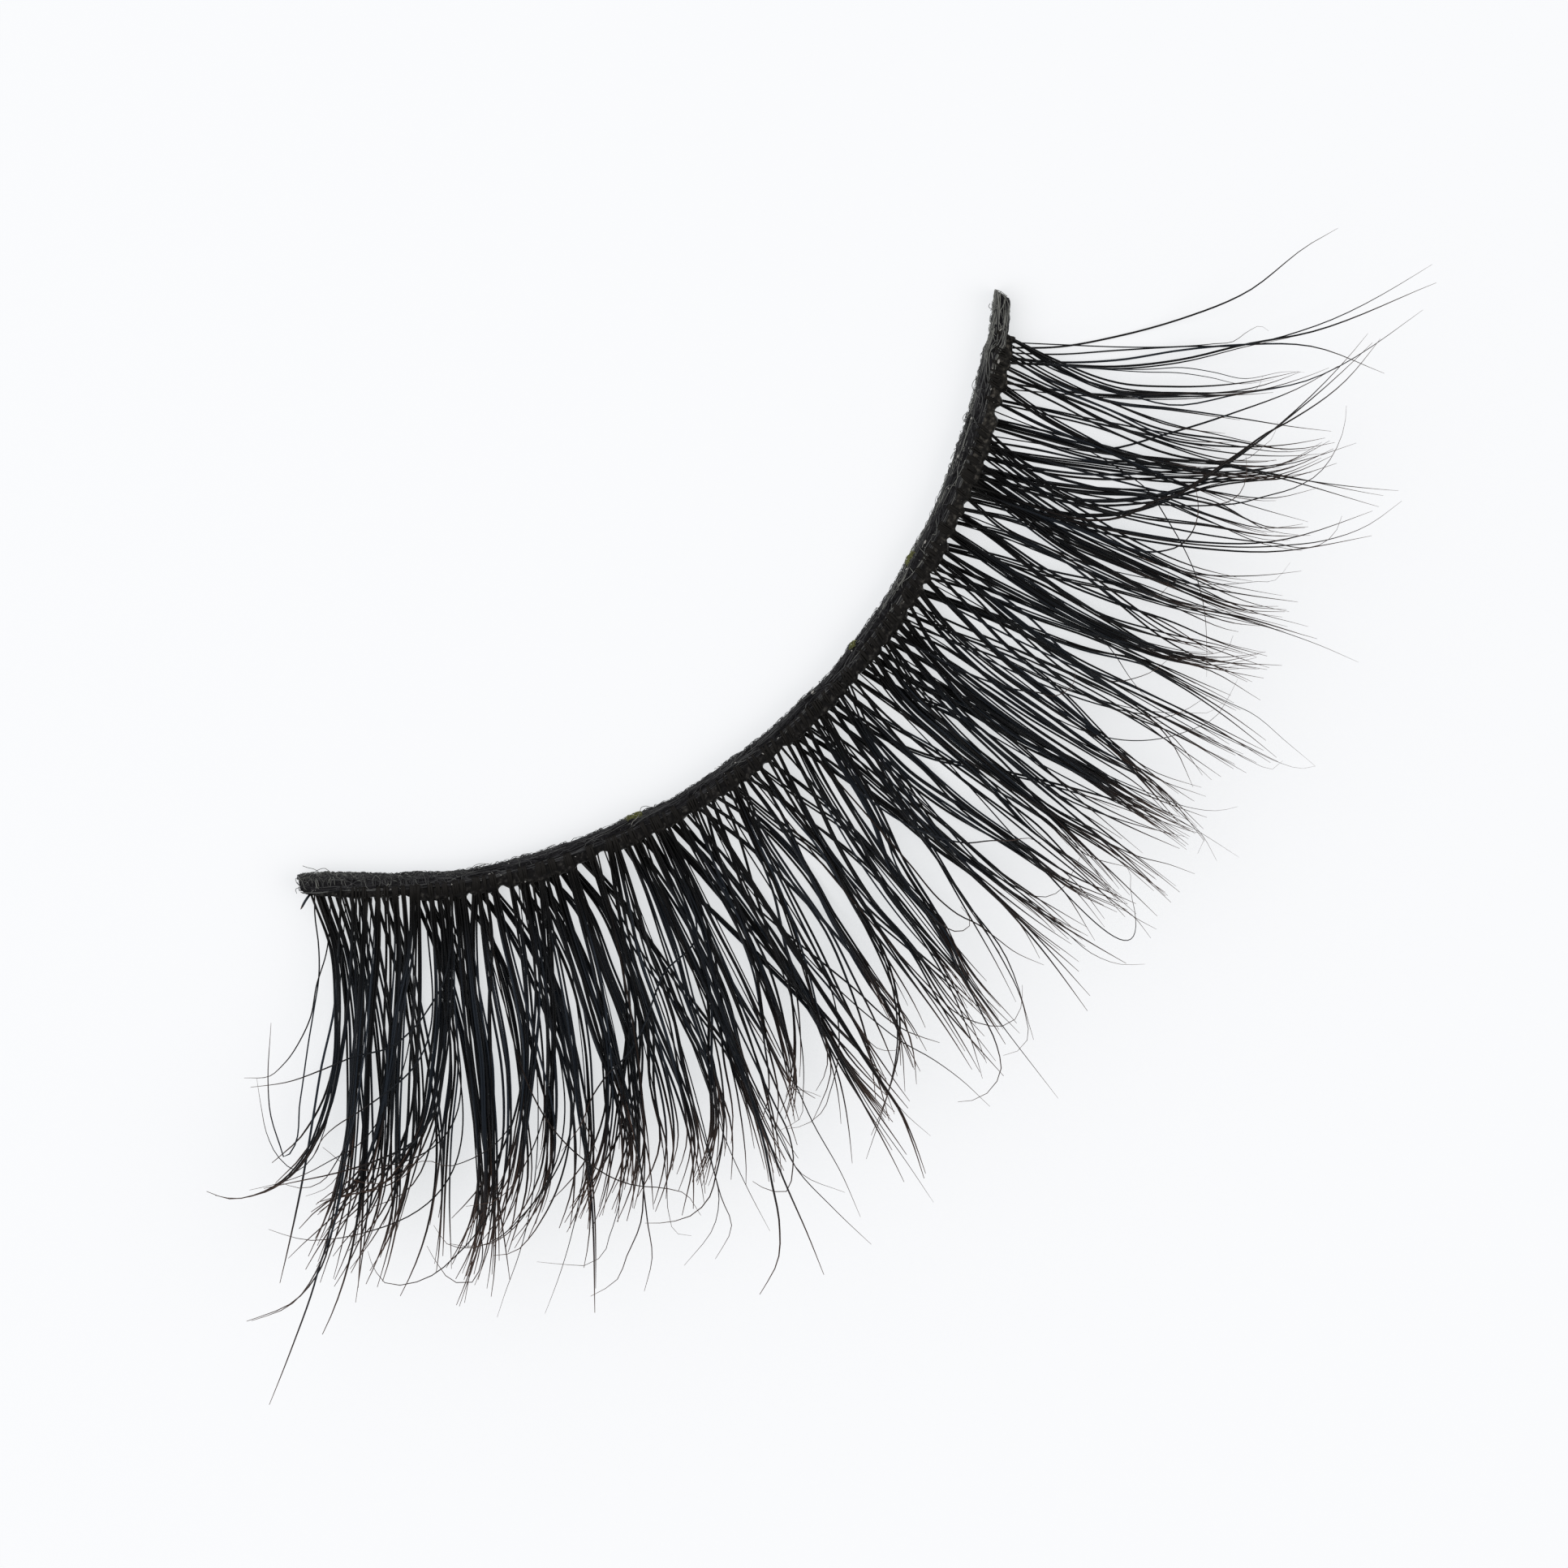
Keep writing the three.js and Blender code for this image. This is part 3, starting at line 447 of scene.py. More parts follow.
def lock_points(lock, start_out):
    """The charted points of a lock as (along, out), led back into the band from its root."""
    root, *places, tip, reach, _ = lock
    start = root - (places[0] - root) * (ROOT_OUT - start_out) / (CHART_OUT[0] - ROOT_OUT)
    points = [(start, start_out), (root, ROOT_OUT)]
    points += [(p, out) for p, out in zip(places, CHART_OUT) if p is not None and out < reach - TIP_ROOM]
    return points + [(tip, reach)]


def hairs_of_lock(lock, floor, spread, start_out):
    """Paths, radii and tones of the hairs of a charted lock."""
    count = lock[-1] + any(start < lock[0] < stop for start, stop in DENSE_SPANS)
    radius = np.interp(lock[0], RADIUS_ALONG, HAIR_RADII)
    lengths = 1 - np.interp(lock[0], SHORTER_ALONG, SHORTER_BY) * random.random(count) ** 1.5
    lengths[random.integers(count)] = 1
    share = RING_SHARES[None, :] * lengths[:, None]
    places, ways = curve_through(lock_points(lock, start_out), share)
    along, out = places[..., 0], places[..., 1]
    stretch = (EYELID_RADIUS + out) / EYELID_RADIUS
    across = np.stack([ways[..., 1], -ways[..., 0] * stretch], axis=-1)
    across /= np.linalg.norm(across, axis=-1, keepdims=True)

    seat = (np.arange(count) - (count - 1) / 2 + random.normal(0, SEAT_JITTER, count))[:, None]
    seat = seat + random.normal(0, SEAT_DRIFT, count)[:, None] * share
    offset = seat * np.interp(share, SPACING_SHARES, SPACINGS) * radius
    offset += random.normal(0, TIP_BEND, count)[:, None] * np.clip((share - 0.5) / 0.5, 0, 1) ** 2
    wander = share * random.uniform(0.6, 1.5, count)[:, None] + random.random((count, 1))
    offset += random.normal(0, WAVER, count)[:, None] * np.sin(2 * math.pi * wander) * np.sqrt(share)
    sweep = random.uniform(0, 2, count)[:, None] * np.interp(along, SWEEP_ALONG, SWEEPS)
    offset += sweep * np.clip((share - 0.6) / 0.4, 0, 1) ** 2.8
    along = along + offset * across[..., 0] / stretch
    out = out + offset * across[..., 1]

    layer = random.uniform(0.14, 0.86, count)[:, None]
    spaced = layer * np.interp(share, LAYER_SHARES, LAYER_SPREADS)
    height = row_height(out) + floor + spread * out / LASH_REACH + spaced * LOCK_THICKNESS
    height += random.normal(0, LIFT_JITTER, count)[:, None] * np.clip(share - 0.2, 0, None) ** 2
    if start_out < HAIR_START:
        height = np.maximum(height, np.interp(out, PERCH_OUT, PERCH_HEIGHTS) + 0.02 * layer)
    radii = tapered(share / lengths[:, None], radius * random.uniform(0.82, 1.2, count), lock[0])
    tones = np.interp(lock[0], TONE_ALONG, LOWEST_TONES) + TONE_SPREAD * random.random(count)
    return on_arc(along, out, np.maximum(height, radii)), radii, tones


# %% Both rows
def joined(groups):
    """One array each of the paths, radii and tones of several groups of hairs."""
    return [np.concatenate(part) for part in zip(*groups)]


lower = joined([hairs_of_lock(lock, 0, 0, HAIR_START) for lock in LOWER_LOCKS])
upper = joined([hairs_of_lock(lock, ROW_PITCH, SPREAD_RISE, PERCH_OUT[0]) for lock in UPPER_LOCKS])
lower_hairs = tube_mesh("lower_hairs", *lower, RING_SHARES, sides=6)
upper_hairs = tube_mesh("upper_hairs", *upper, RING_SHARES, sides=6)
for piece, node in ((lower_hairs, "lower_lash_row"), (upper_hairs, "upper_lash_row")):
    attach(piece, "root")
    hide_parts(node)

# %% [markdown]
# ## Stray hairs
# A worn strip has hairs that left their lock: hooks, arcs and long wisps that cross the others. They
# make the outline soft, so the ones that show are charted too. Each row starts with how thick the
# hair is, as a share of a normal one, and its tone from 0, a painted cool sheen, to 1, brown. Points
# along it follow, as (along, out) in mm. A stray whose first point is far out is led back to a root in the
# band.

# %% The chart of stray hairs
STRAYS = [
    (1.2, 0.1, (-15.9, 0.42), (-16.0, 0.63), (-16.1, 0.9)),
    (1.0, 0.3, (-15.85, 0.42), (-15.2, 2), (-14.97, 4), (-14.97, 6), (-15.2, 7.5), (-15.55, 8.8),
     (-16, 9.6), (-16.5, 10.05), (-17, 10.25), (-17.5, 10.12)),
    (0.9, 0.3, (-15.7, 0.42), (-15.1, 2), (-14.9, 4), (-14.93, 6), (-15.15, 7.5), (-15.5, 8.8),
     (-15.93, 9.57), (-16.4, 10), (-16.9, 10.22), (-17.3, 10.2)),
    (0.8, 0.4, (-15.6, 0.42), (-15.05, 2), (-14.85, 4), (-14.85, 6), (-15.1, 7.6), (-15.45, 8.8),
     (-15.85, 9.5), (-16.3, 9.95), (-16.7, 10.15)),
    (1.0, 0.4, (-12.2, 6), (-12.5, 7.3), (-13.1, 8.3), (-13.9, 8.8), (-14.8, 9.2), (-15.6, 9.5),
     (-16.3, 9.8)),
    (1.0, 0.3, (-12.4, 6.5), (-12.75, 7.8), (-13.3, 8.6), (-14.1, 9.6), (-14.6, 10.3), (-15, 11.2)),
    (0.7, 0.1, (-15.75, 0.4), (-15.7, 1), (-15.52, 2), (-15.45, 3), (-15.52, 4), (-15.6, 5), (-15.7, 7),
     (-15.8, 8.6), (-15.9, 8.8), (-16.1, 8.3), (-16.35, 7.5), (-16.5, 6.5), (-16.6, 4.6)),
    (0.65, 0.8, (-15.25, 0.4), (-15.22, 1.5), (-15.27, 2.2), (-15.5, 3.3), (-15.6, 4.3), (-15.8, 5),
     (-16.2, 5.9), (-16.5, 6.3), (-17.1, 6.45)),
    (0.5, 0.3, (-14.95, 5.5), (-15.1, 7.9), (-15.35, 8.8), (-15.65, 9.2), (-16, 8.9), (-16.4, 8.1),
     (-16.6, 7.3), (-16.8, 6.4)),
    (0.6, 0.5, (-13.6, 7), (-14.3, 8.3), (-14.9, 8.8), (-15.5, 9.3), (-16, 9.6), (-16.6, 9.9)),
    (0.8, 0.3, (-11.4, 0.4), (-11.75, 2.5), (-12, 3.3), (-12.35, 3.9), (-12.97, 4.75), (-13.55, 5.25),
     (-14.4, 5.5), (-15.2, 5.95), (-16, 6.4), (-16.9, 6.7)),
    (0.8, 0.2, (-13.1, 6.1), (-13.9, 6.9), (-14.4, 7.35), (-14.8, 7.7), (-15.1, 8.1), (-15.3, 8.7)),
    (0.7, 0.0, (-14.3, 6.5), (-14.5, 8), (-14.8, 8.9), (-15.1, 9.5), (-15.45, 9.7), (-15.75, 9.65),
     (-16, 9.55)),
    (0.6, 0.3, (-14.35, 7), (-14.5, 8.5), (-14.7, 9.2), (-15, 9.7), (-15.4, 9.95)),
    (1.0, 0.3, (-14.7, 10), (-14.8, 11), (-15, 12.2), (-15.5, 13.25), (-16.3, 13.9)),
    (0.9, 0.3, (-14.75, 10), (-14.85, 11), (-15.05, 12.2), (-15.6, 13.4), (-16.2, 13.85)),
    (1.0, 0.0, (-14.6, 9), (-14.8, 11), (-15, 12), (-15.1, 12.75), (-15.4, 14.5), (-15.74, 16.4)),
    (0.7, 0.6, (-13.6, 10.8), (-14.3, 11.1), (-14.85, 11.25), (-15.3, 11.3), (-15.7, 11.2), (-16.1, 11.05)),
    (0.7, 0.6, (-13.3, 8.87), (-13.75, 9), (-14.05, 9.1), (-14.5, 9), (-14.9, 8.6), (-15.1, 8.4)),
    (0.7, 0.6, (-13.4, 9.25), (-13.75, 9.5), (-14.1, 9.5), (-14.55, 9.3)),
    (0.6, 0.7, (-11.9, 9), (-12.2, 9.1), (-12.55, 9), (-12.7, 8.87), (-13.1, 8.95), (-13.6, 9.1)),
    (0.7, 0.6, (-12.3, 11.9), (-12.75, 12.4), (-13.3, 12.65), (-13.6, 12.65), (-13.9, 12.2), (-14.05, 11.6)),
    (0.7, 0.6, (-11.75, 11), (-11.8, 12.2), (-12.05, 12.75), (-12.3, 12.7), (-12.65, 12.1), (-12.85, 11.5)),
    (0.7, 0.5, (-10.83, 10.9), (-11.4, 11.5), (-11.85, 11.7), (-12.35, 11.6), (-12.7, 10.9)),
    (0.7, 0.5, (-10.4, 8.9), (-10.7, 9.5), (-11, 10), (-11.4, 10.35), (-12, 10.4)),
    (0.8, 0.4, (-10.35, 10.3), (-10.7, 10.75), (-11.05, 11.25), (-11.6, 11.65), (-12, 11.65), (-12.4, 11.5)),
    (1.0, 0.4, (-10.5, 11.2), (-10.75, 11.6), (-11.15, 12), (-11.55, 12)),
    (0.9, 0.2, (-4.6, 0.4), (-4.7, 2.5), (-5.2, 4.3), (-6.25, 4.8), (-6.6, 5.25), (-7.2, 6.15), (-7.7, 6.75),
     (-8.45, 7.3), (-8.8, 7.7), (-9.3, 8.6), (-9.8, 9.2)),
    (0.7, 0.9, (-9.25, 9.8), (-8.85, 10.4), (-8.45, 10.8), (-7.95, 11.1), (-7.55, 11.45), (-7.35, 12.3)),
    (0.8, 0.9, (-8.3, 11), (-8.55, 12), (-8.95, 12.8), (-9.3, 13.5), (-9.8, 13.75)),
    (0.8, 0.3, (-8.3, 11), (-8.4, 12), (-8.5, 13.1), (-8.8, 14)),
    (0.5, 0.6, (-9.2, 12.1), (-9.45, 12.65), (-9.8, 12.8), (-10.15, 12.65), (-10.7, 12.4)),
    (0.5, 0.5, (-9.7, 11), (-10, 12), (-10.3, 12.9), (-10.7, 14)),
    (0.5, 0.5, (-11.1, 12.3), (-11.4, 13.2), (-11.6, 13.9)),
    (0.5, 0.6, (-7.8, 11), (-7.95, 12), (-7.9, 12.6), (-7.65, 12.8)),
    (0.6, 0.6, (-6.8, 11), (-6.9, 12), (-7.2, 12.8), (-7.95, 13.6)),
    (0.7, 0.5, (-6.8, 11), (-6.85, 12), (-6.87, 13), (-7.35, 13.7)),
    (0.9, 0.8, (-6.8, 11.3), (-7.1, 11.9), (-7.5, 12.2), (-7.95, 12.2), (-8.45, 12)),
    (0.9, 0.3, (-5.1, 10), (-5.1, 11.05), (-5.3, 12), (-5.65, 12.6), (-5.95, 12.3), (-6.15, 11.9)),
    (1.2, 0.3, (-5.5, 9.5), (-5.65, 11.05), (-5.8, 12.1), (-6, 13.5), (-6.3, 14.5), (-6.8, 15.2)),
    (1.0, 0.3, (-5.5, 10), (-5.57, 12.3), (-5.57, 14), (-5.6, 15.4)),
    (0.5, 0.5, (-6.3, 9), (-6.35, 10.5), (-6.3, 12), (-6.2, 13.5)),
    (0.6, 0.5, (-5.3, 11), (-5.25, 12.1), (-4.95, 13.6), (-4.6, 15.2)),
    (0.5, 0.6, (-5.25, 11), (-5.2, 12.3), (-4.6, 13.4)),
    (0.6, 0.6, (-4.5, 9.5), (-4.55, 11), (-4.5, 12.9), (-4.55, 14.3)),
    (0.6, 0.6, (-4.6, 9.3), (-4.6, 9.8), (-4.35, 10.1), (-4.15, 10.45)),
    (0.6, 0.8, (-4.5, 10.2), (-4.75, 10.75), (-5.3, 10.8)),
    (0.7, 0.6, (-3.9, 10.4), (-4.3, 10.9), (-4.75, 11), (-5.1, 10.85)),
    (1.3, 0.7, (-2.93, 11), (-2.9, 12), (-3, 13), (-3.17, 14.2)),
    (1.2, 0.7, (-2.9, 11.2), (-2.88, 12), (-2.96, 13), (-3.1, 14.1)),
    (0.5, 0.5, (-3.4, 10), (-3.38, 12), (-3.3, 13.5), (-3.25, 15)),
    (0.5, 0.6, (-2.9, 11), (-2.85, 12.1), (-2.65, 13.2)),
    (0.7, 0.6, (-2.7, 8.6), (-2.7, 9.5), (-2.55, 10.15), (-2.3, 10.4), (-2.1, 10.3)),
    (0.6, 0.8, (-2.4, 9), (-2.1, 10.3), (-1.8, 11.2), (-1.55, 12.3), (-1.4, 13.5)),
    (1.0, 0.3, (-0.4, 11), (-0.6, 12.2), (-0.85, 12.85), (-1.2, 13.1), (-1.55, 13.05), (-1.85, 12.8)),
    (0.6, 0.3, (-0.22, 11), (-0.25, 12), (-0.3, 14.6)),
    (0.7, 0.9, (-0.9, 9.8), (-0.85, 10.4), (-0.55, 11.3), (-0.2, 11.8), (0.1, 11.85), (0.35, 11.6),
     (0.6, 11.2)),
    (0.9, 0.4, (0.1, 7), (0.15, 8.15), (0.35, 8.65), (0.55, 8.77), (0.7, 8.6), (0.75, 8.1)),
    (0.8, 0.9, (0.52, 6), (0.5, 7.6), (0.6, 8.3), (0.75, 8.8), (0.85, 9.5), (0.95, 10.3), (1.2, 11.2)),
    (0.8, 0.6, (0.75, 9.5), (0.6, 10.5), (0.45, 11.3), (0.2, 12.1), (-0.05, 12.6), (-0.25, 12.68),
     (-0.6, 12.5)),
    (0.9, 0.2, (1.3, 5.5), (1.55, 6.15), (1.9, 6.8), (2.3, 7.25), (2.65, 7.75), (2.95, 8.1), (3.05, 8.5)),
    (0.7, 0.5, (1.95, 8), (2, 9), (2.1, 9.5), (2.35, 9.85), (2.65, 9.95), (3, 9.85), (3.4, 9.7)),
    (0.6, 0.6, (2, 11), (2.05, 12), (2.3, 12.9), (2.6, 13.4)),
    (0.9, 0.6, (3.12, 11.5), (3.15, 12.2), (3.05, 13)),
    (0.9, 0.5, (3.12, 11.5), (3.15, 12.2), (3.25, 12.95)),
    (0.6, 0.5, (3.3, 12), (3.5, 11.6), (3.8, 11.2), (3.88, 10.7)),
    (0.9, 0.85, (4, 10.2), (4.15, 11.1), (4.4, 12), (4.55, 12.8)),
    (0.5, 0.6, (5.25, 11.5), (5.28, 12.3), (5.3, 13.6)),
    (0.7, 0.4, (5.35, 11.5), (5.27, 12.2), (5, 13.1)),
    (0.6, 0.5, (5.4, 10.5), (5.55, 11.4), (5.9, 12.4), (6.1, 12.7)),
    (0.7, 0.3, (5.2, 12), (5.27, 12.35), (4.9, 12.5)),
    (0.9, 0.3, (5.45, 4.3), (5.65, 5), (5.85, 5.5), (6, 6), (6.2, 6.2), (6.5, 6.3), (6.8, 6.15)),
    (0.6, 0.6, (6.85, 10.1), (7.15, 10.45), (7.45, 10.7), (7.8, 10.75), (8.35, 10.75)),
    (0.8, 0.3, (6.7, 8.6), (6.9, 9.3), (7.2, 9.7), (7.75, 10.15)),
    (0.5, 0.6, (7.2, 9.8), (7.3, 10.05), (7.5, 10.5), (7.8, 10.7)),
    (0.6, 0.6, (7, 11.5), (7, 12.4), (7.15, 13.1), (7.3, 13.15)),
    (0.5, 0.7, (7.83, 10.8), (7.85, 11.6), (7.65, 13), (7.5, 14.1)),
    (0.5, 0.7, (7.2, 12.2), (7.25, 13.2), (7.35, 13.8), (7.5, 14.1)),
    (0.9, 0.2, (6.95, 6.6), (7.05, 7.4), (7.35, 7.9), (7.7, 8.3), (8.1, 8.55)),
    (0.6, 0.4, (7.6, 7), (7.3, 7.75), (7.1, 8.5), (7.1, 8.9)),
    (0.8, 0.3, (8.4, 9), (8.55, 9.55), (8.8, 10), (9, 10.1), (9.15, 10.05)),
    (0.6, 0.6, (11.9, 4.9), (11.6, 5.9), (11.05, 6.8), (10.6, 7.5), (10, 8.3), (9.4, 8.9), (8.6, 9.5),
     (8.1, 9.85)),
    (1.1, 0.2, (10.1, 5.5), (10.12, 6.2), (10.33, 7), (10.65, 7.5), (11, 7.67), (11.35, 7.67),
     (11.75, 7.5), (12.1, 7.25)),
    (0.7, 0.4, (9.25, 6.6), (9.3, 7.4), (9.6, 7.55), (9.9, 7.4)),
    (1.0, 0.3, (11.7, 7.2), (11.75, 8.15), (11.9, 8.5), (12.2, 8.75), (12.5, 8.77), (12.95, 8.6)),
    (0.6, 0.7, (12.8, 8.2), (12.9, 8.65), (13.2, 9), (13.5, 9.3), (13.85, 9.35)),
    (0.6, 0.8, (9.55, 10.3), (9.6, 11.2), (9.63, 12.5), (9.6, 13.9)),
    (0.5, 0.6, (10.2, 9.5), (10.4, 10.1), (10.55, 10.6), (11, 10.85)),
    (0.9, 0.5, (11.2, 9.6), (11.3, 10.3), (11.35, 11), (11.55, 11.6), (11.85, 11.9), (12.2, 11.95)),
    (0.8, 0.86, (11.3, 10.5), (11.65, 11.7), (12.15, 12.8), (12.75, 13.6)),
    (0.8, 0.6, (11.7, 8), (11.9, 8.75), (12.2, 9.5), (12.6, 10.45), (12.95, 10.95), (13.4, 11.25),
     (14, 11.4), (14.4, 11.35)),
    (1.1, 0.87, (10.9, 5.6), (11.45, 6.3), (11.8, 7), (12.25, 7.5), (12.7, 8), (13.1, 8.5), (13.5, 9),
     (13.9, 9.7), (14.9, 11.2), (15.8, 12.1)),
    (0.6, 0.5, (14.2, 7.4), (14.4, 8.3), (14.5, 8.55), (14.8, 8.65)),
    (0.6, 0.5, (15.4, 7), (15.5, 7.6), (15.75, 8), (15.9, 8.4), (15.8, 8.65)),
    (0.5, 0.2, (14.6, 5.2), (14.73, 6), (14.73, 7.1), (14.67, 8), (14.95, 9.4), (14.97, 9.9)),
    (0.5, 0.2, (14.5, 5), (14.6, 6), (14.6, 7), (14.55, 8), (14.75, 9)),
]
STRAY_SHARES = np.linspace(0, 1, 44)
STRAY_LIFT = 0.35
STRAY_GAP = 0.15
LEAD_SLOPE = 0.25
LEAD_SHARE = 0.6
NEAR_BAND = 1
ROOTS_FROM, ROOTS_TO = -15.8, 14.9


def stray_points(charted):
    """The points of a stray, led back to a root in the band where it starts further out."""
    (along, out), (next_along, next_out) = charted[:2]
    if out < NEAR_BAND:
        return charted
    slope = 0
    if next_out > out:
        slope = np.clip((next_along - along) / (next_out - out), -LEAD_SLOPE, LEAD_SLOPE)
    root = np.clip(along - slope * (out - HAIR_START) * LEAD_SHARE, ROOTS_FROM, ROOTS_TO)
    return ((root, HAIR_START), *charted)


def stray_hair(stray):
    """Path, radii and tone of a stray hair, above the locks and rising along its length."""
    thickness, tone, *charted = stray
    share = STRAY_SHARES[None, :]
    places, _ = curve_through(stray_points(charted), share)
    along, out = places[..., 0], places[..., 1]
    rise = (STRAY_LIFT + random.uniform(0.2, 0.9) * share) * np.minimum(share * 4, 1)
    height = row_height(out) + ROW_PITCH + SPREAD_RISE * out / LASH_REACH + STRAY_GAP + rise
    radii = tapered(share, np.array([HAIR_RADII[1] * thickness]), along[0, 0])
    return on_arc(along, out, height), radii, np.array([tone])


stray_hairs = tube_mesh("stray_hairs", *joined([stray_hair(s) for s in STRAYS]), STRAY_SHARES, sides=6)
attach(stray_hairs, "root")

# %% [markdown]
# ## The core of the band
# The band is a cotton cord pressed flat. A section is drawn as a filled circle whose points are moved
# to a rounded square, and the spin tool sweeps it about the centre of the eyelid's arc. That gives an
# even bar with closed ends that follows the arc, as no straight cylinder could. Its sides are then
# moved to the real outline, which wanders along the strip, and small noise along the normals makes
# it look felted.

# %% The outline of the cotton
REAR_ALONG = [-16.4, -15.5, -14.3, -13.5, -12.5, -11.7, -10.5, -8, -6.2, -5.4, -4.6, -3.8, -2.1, 0,
              1.7, 2.6, 3.6, 6, 7.2, 9, 11, 12.5, 14.3, 15, 16.4]
REAR_OUT = [-0.15, -0.27, -0.29, -0.23, -0.24, -0.12, -0.13, -0.18, -0.16, -0.2, -0.13, -0.08, -0.14, -0.11,
            -0.15, -0.08, -0.17, -0.19, -0.24, -0.23, -0.28, -0.23, -0.21, -0.1, -0.08]
FRONT_ALONG = [-16.4, -15.8, -15.2, 14.4, 15.0, 16.4]
FRONT_OUT = [0.42, 0.38, 0.26, 0.26, 0.46, 0.42]
LEFT_END_OUT, LEFT_END_ALONG = [-0.25, 0.05, 0.2, 0.33, 0.42], [-16.3, -16.27, -16.23, -16.17, -16.03]
RIGHT_END_OUT, RIGHT_END_ALONG = [-0.15, 0.1, 0.35, 0.45], [16.36, 16.28, 16.12, 15.9]
SQUARENESS = 0.5


def squircle(turn):
    """Shares of a rounded square's half sides at angles about it: 0 is its front, a quarter its top."""
    wide, high = np.cos(turn), np.sin(turn)
    return np.sign(wide) * np.abs(wide) ** SQUARENESS, np.sign(high) * np.abs(high) ** SQUARENESS


def band_place(along, wide, high, lift=0):
    """Points in mm at shares of the band's half sides, lift off its surface."""
    rear, front = np.interp(along, REAR_ALONG, REAR_OUT), np.interp(along, FRONT_ALONG, FRONT_OUT)
    out = (rear + front) / 2 + wide * ((front - rear) / 2 + lift)
    height = BAND_HEIGHT / 2 * (1 + high) + high * lift
    left = np.interp(out, LEFT_END_OUT, LEFT_END_ALONG)
    right = np.interp(out, RIGHT_END_OUT, RIGHT_END_ALONG)
    return left + (right - left) * (along + HALF_BAND) / (2 * HALF_BAND), out, height


# %% A bar spun along the arc, and its felted skin
def spun_bar(name, points, steps, start, stop):
    """A bar with a rounded square section, spun about the arc's centre, and its shares of that section."""
    bpy.ops.object.select_all(action="DESELECT")
    bpy.ops.mesh.primitive_circle_add(vertices=points, fill_type="NGON", radius=MM)
    bar = bpy.context.object
    bar.name = name
    wide, high = squircle(np.linspace(0, 2 * math.pi, points, endpoint=False))
    section = on_arc(np.full(points, start), wide, high + 1)
    bar.data.vertices.foreach_set("co", section.ravel())
    bpy.ops.object.mode_set(mode="EDIT")
    bpy.ops.mesh.select_all(action="SELECT")
    bpy.ops.mesh.spin(
        steps=steps, angle=(start - stop) / EYELID_RADIUS, center=(0, EYELID_RADIUS * MM, 0), axis=(0, 0, 1)
    )
    bpy.ops.mesh.select_all(action="SELECT")
    bpy.ops.mesh.normals_make_consistent(inside=False)
    bpy.ops.object.mode_set(mode="OBJECT")
    x, y, z = corners_of(bar).T / MM
    along = EYELID_RADIUS * np.arctan2(x, EYELID_RADIUS - y)
    return bar, along, np.hypot(x, EYELID_RADIUS - y) - EYELID_RADIUS, z - 1


def corners_of(piece, what="co"):
    """The corner points of a piece, or their normals, as an array."""
    source = piece.data.vertices if what == "co" else piece.data.vertex_normals
    values = np.zeros(3 * len(source), np.float32)
    source.foreach_get(what, values)
    return values.reshape(-1, 3).astype(float)


def felted(piece, layers):
    """Moves a piece's points along their normals by layers of smooth noise, (size, depth) in mm."""
    for size, depth in layers:
        points, normals = corners_of(piece), corners_of(piece, "vector")
        lumps = np.array([noise.noise(Vector(point / (size * MM))) for point in points])
        points += MM * depth * lumps[:, None] * normals
        points[:, 2] = np.maximum(points[:, 2], 0)
        piece.data.vertices.foreach_set("co", points.ravel())
        piece.data.update()


# %% The core
CORE_LUMPS = [(0.6, 0.04), (0.14, 0.05), (0.06, 0.03)]

band_core, along, wide, high = spun_bar("band_core", points=40, steps=420, start=-HALF_BAND, stop=HALF_BAND)
band_core.data.vertices.foreach_set("co", on_arc(*band_place(along, wide, high)).ravel())
felted(band_core, CORE_LUMPS)
band_core.data.shade_smooth()
print("core:", len(band_core.data.polygons), "faces")

# %% [markdown]
# ## The glue line
# Black glue holds the hairs against the cotton. It reaches furthest out where locks stand close and
# draws back in small arches over the openings between them. So its front edge follows the number of
# roots nearby, counted with a bell curve round each root of the chart.

# %% The glue
GLUE_FROM, GLUE_TO = -16.0, 14.95
GLUE_REAR = 0.14
GLUE_ALONG = [-16, -12.9, -12.2, -7.6, -7.2, -6, 4, 15]
GLUE_FRONTS = [0.36, 0.36, 0.53, 0.53, 0.38, 0.48, 0.5, 0.52]
GLUE_BULGES = [0.15, 0.15, 0.22, 0.28, 0.28, 0.25, 0.25, 0.28]
GLUE_MIDDLE, GLUE_HALF, GLUE_SLOPE = 0.42, 0.38, 0.06
ROOT_REACH = 0.13
FULL_CROWD = 4
GLUE_LUMPS = [(0.25, 0.03), (0.08, 0.02)]

root_glue, along, wide, high = spun_bar("root_glue", points=28, steps=620, start=GLUE_FROM, stop=GLUE_TO)
crowd = np.zeros_like(along)
for lock in LOWER_LOCKS + UPPER_LOCKS:
    crowd += lock[-1] * np.exp(-(((along - lock[0]) / ROOT_REACH) ** 2))
front = np.interp(along, GLUE_ALONG, GLUE_FRONTS)
front += np.interp(along, GLUE_ALONG, GLUE_BULGES) * (1 - np.exp(-crowd / FULL_CROWD))
share = (wide + 1) / 2
out = GLUE_REAR + share * (front - GLUE_REAR)
height = GLUE_MIDDLE + high * (GLUE_HALF - GLUE_SLOPE * share)
root_glue.data.vertices.foreach_set("co", on_arc(along, out, height).ravel())
felted(root_glue, GLUE_LUMPS)
root_glue.data.shade_smooth()
print("glue:", len(root_glue.data.polygons), "faces")

# %% [markdown]
# ## Yarn, wool and loose threads
# Close up, the cotton shows fine strands that run a little askew along the band, and a soft wool of
# loops that blurs its rear edge, thickest on the left. Each kind is a set of thin tubes on the core's
# surface, placed by their angle about the section and their distance from the surface. A few lone
# threads and small tufts of lint are charted.

